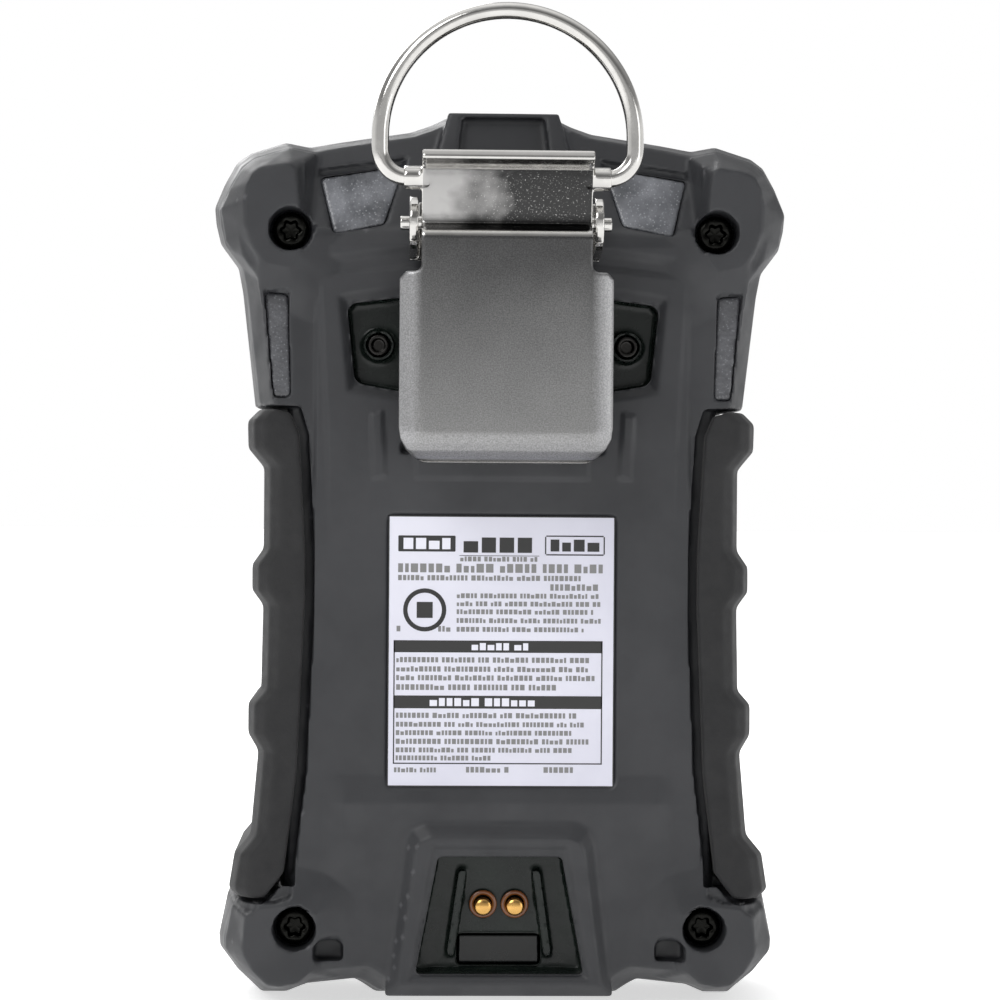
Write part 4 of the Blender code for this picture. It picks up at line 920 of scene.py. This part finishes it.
def digit_strokes(text, x, z):
    """The strokes of seven-segment numbers as outlines, from a lower left corner."""
    width, height, stroke, space = DIGIT
    half = height / 2
    strokes = []
    for character in text:
        if character == ".":
            left = x - space + POINT_SHIFT
            strokes.append(rounded(left, left + stroke, z, z + stroke, SMALL_CORNER_R, 2))
            x += POINT_SPACE
            continue
        places = {"a": (0, width, height - stroke, height), "g": (0, width, half - stroke / 2, half + stroke / 2),
                  "d": (0, width, 0, stroke), "f": (0, stroke, half, height), "e": (0, stroke, 0, half),
                  "b": (width - stroke, width, half, height), "c": (width - stroke, width, 0, half)}
        for name in SEGMENTS[character]:
            x0, x1, z0, z1 = places[name]
            strokes.append(rounded(x + x0 + DIGIT_TRIM, x + x1 - DIGIT_TRIM,
                                   z + z0 + DIGIT_TRIM, z + z1 - DIGIT_TRIM, DIGIT_CORNER_R, 2))
        x += width + space
    return strokes


def display():
    low, high = box_mm("display_window")
    half_x, z_from, z_to, corner = WINDOW_OPENING
    inner = rounded(-half_x, half_x, z_from, z_to, corner)
    outer = rounded(low[0], high[0], low[2], high[2], WINDOW_CORNER_R)
    border = ring_prism("window_border", outer, inner, low[1], high[1])
    finish_piece(border, "housing", (GLASS,), ("display_window",))
    sheet = rounded(-half_x - PANE_OVERLAP, half_x + PANE_OVERLAP,
                    z_from - PANE_OVERLAP, z_to + PANE_OVERLAP, corner)
    pane = prisms("window_pane", [sheet], low[1] + PANE_FROM, low[1] + PANE_TO)
    finish_piece(pane, "housing", (PANE,), ())
    low, high = box_mm("lcd_module")
    face = rounded(low[0], high[0], low[2], high[2], LCD_CORNER_R)
    module = prisms("lcd_panel", [face], low[1], high[1], LCD_BEVEL)
    finish_piece(module, "housing", (LCD,), ("lcd_module",))
    shapes = [stroke for reading in READINGS for stroke in digit_strokes(*reading)]
    shapes += [rounded(*rule, SMALL_CORNER_R, 2) for rule in LCD_RULES]
    (x, z), spacing, width, height, ticks = LCD_TICKS
    shapes += [rounded(x + spacing * i, x + spacing * i + width, z, z + height, SMALL_CORNER_R, 2)
               for i in range(ticks)]
    digits = prisms("lcd_digits", shapes, low[1] - DIGIT_RISE, low[1] + DIGIT_RISE)
    finish_piece(digits, "housing", (INK,), ())


def key_face(node):
    low, high = box_mm(node)
    return ((low[0] + high[0]) / 2, (low[2] + high[2]) / 2), low[1]


def keys():
    for node, material, slot in (("left_button", KEY, "key_rubber"), ("right_button", KEY, "key_rubber"),
                                 ("power_button", POWER_KEY, "power_key_rubber")):
        finish_piece(fine_copy(node + "_fine", node, KEY_VOXEL, 6), node, (material,), (node,))
    (x, z), face = key_face("power_button")
    pieces = ring_pieces((x, z), *POWER_MARK, range(*POWER_TURNS, POWER_STEP), POWER_STEP)
    shapes = [[(px, 2 * z - pz) for px, pz in piece] for piece in pieces]
    half_x, low, high = POWER_BAR
    shapes.append(rounded(x - half_x, x + half_x, z + low, z + high, SMALL_CORNER_R, 2))
    mark = prisms("power_mark", shapes, face - KEY_MARK_RISE, face + KEY_MARK_RISE)
    finish_piece(mark, "power_button", (KEY_MARK,), ())
    half_x, base, tip = ARROW
    for node, sign in (("left_button", -1), ("right_button", 1)):
        (x, z), face = key_face(node)
        triangle = [(x - half_x, z - sign * base), (x + half_x, z - sign * base), (x, z + sign * tip)]
        mark = prisms(node + "_mark", [triangle], face - KEY_MARK_RISE, face + KEY_MARK_RISE)
        finish_piece(mark, node, (KEY_MARK,), ())


def sensor_face():
    cover = fine_copy("sensor_cover_fine", "sensor_cover", COVER_VOXEL, 4)
    finish_piece(cover, "housing", (BLACK,), ("sensor_cover",))


# ---------------------------------------------------------------- stage

CLIP_RANGE = (0.01, 10)  # metres, as are the lights' and the floor's sizes
FLOOR_HALF = 6.0
FLOOR_GLOW = 0.6
LIGHT_AIM = (0, 0, 0.06)
LIGHTS = (("key", (0.42, 0.62, 0.62), (0.45, 0.45), 2.6), ("fill", (-0.75, 0.5, 0.15), (0.3, 0.5), 0.8),
          ("front", (0.3, -0.6, 0.5), (0.5, 0.5), 3.0))  # place, size and watts
SKY = ((0.0, 1.0), (0.22, 1.0), (0.40, 0.32), (0.62, 0.42), (1.0, 1.3))  # a direction's Z, and its brightness
BACK_WALL_REACH = 0.7  # the wall on the clip's side has its full shade where a direction's Y is this


def add_camera():
    data = bpy.data.cameras.new("camera")
    data.sensor_width = SENSOR_WIDTH
    data.lens = SENSOR_WIDTH * CAMERA_DISTANCE / VIEW_WIDTH
    data.clip_start, data.clip_end = CLIP_RANGE
    camera = bpy.data.objects.new("camera", data)
    turn = math.radians(CAMERA_AZIMUTH)
    back = Vector((math.sin(turn), -math.cos(turn), 0))
    camera.location = Vector((CAMERA_X, 0, CAMERA_Z)) + back * CAMERA_DISTANCE
    camera.rotation_euler = back.to_track_quat("Z", "Y").to_euler()
    camera.rotation_euler.rotate_axis("Z", math.radians(CAMERA_ROLL))
    bpy.context.scene.collection.objects.link(camera)
    bpy.context.scene.camera = camera


def add_light(name, place, size, power):
    data = bpy.data.lights.new(name, "AREA")
    data.shape = "RECTANGLE"
    data.size, data.size_y = size
    data.energy = power
    light = bpy.data.objects.new(name, data)
    light.location = place
    light.rotation_euler = (Vector(place) - Vector(LIGHT_AIM)).to_track_quat("Z", "Y").to_euler()
    bpy.context.scene.collection.objects.link(light)


def add_floor():
    work = bmesh.new()
    bmesh.ops.create_grid(work, x_segments=8, y_segments=8, size=FLOOR_HALF)
    floor = built("floor", work)
    pale = Surface("floor", roughness=0.9)
    pale.colour(pale.between(pale.noise(400, 2), ((0.3, (0.86, 0.86, 0.86)), (0.7, (0.9, 0.9, 0.9)))))
    pale.set(Emission_Color=(1, 1, 1, 1), Emission_Strength=FLOOR_GLOW)
    floor.data.materials.append(pale.material)


def add_world():
    """An even studio: white around the horizon, greyer above it, and white overhead."""
    world = bpy.data.worlds.new("studio")
    world.use_nodes = True
    nodes, links = world.node_tree.nodes, world.node_tree.links
    background = nodes["Background"]
    background.inputs["Strength"].default_value = 1.0
    split = nodes.new("ShaderNodeSeparateXYZ")
    links.new(nodes.new("ShaderNodeTexCoord").outputs["Generated"], split.inputs["Vector"])
    band = colour_band(nodes, [(position, (level,) * 3) for position, level in SKY])
    links.new(split.outputs["Z"], band.inputs["Fac"])
    side = nodes.new("ShaderNodeMapRange")
    for name, number in (("From Min", 0.0), ("From Max", BACK_WALL_REACH), ("To Min", 1.0), ("To Max", BACK_WALL)):
        side.inputs[name].default_value = number
    links.new(split.outputs["Y"], side.inputs["Value"])
    shade = nodes.new("ShaderNodeMix")
    shade.data_type = "RGBA"
    shade.blend_type = "MULTIPLY"
    shade.inputs["Factor"].default_value = 1.0
    links.new(band.outputs["Color"], shade.inputs[6])
    links.new(side.outputs["Result"], shade.inputs[7])
    links.new(shade.outputs[2], background.inputs["Color"])
    bpy.context.scene.world = world


dress_nodes()
rear_shell()
front_shell()
grips()
clip_sheet()
ring_wire()
clip_base()
screws()
inserts_and_pins()
lenses()
label()
display()
keys()
sensor_face()
add_camera()
add_floor()
add_world()
for light in LIGHTS:
    add_light(*light)
bpy.context.scene.view_settings.view_transform = "Standard"
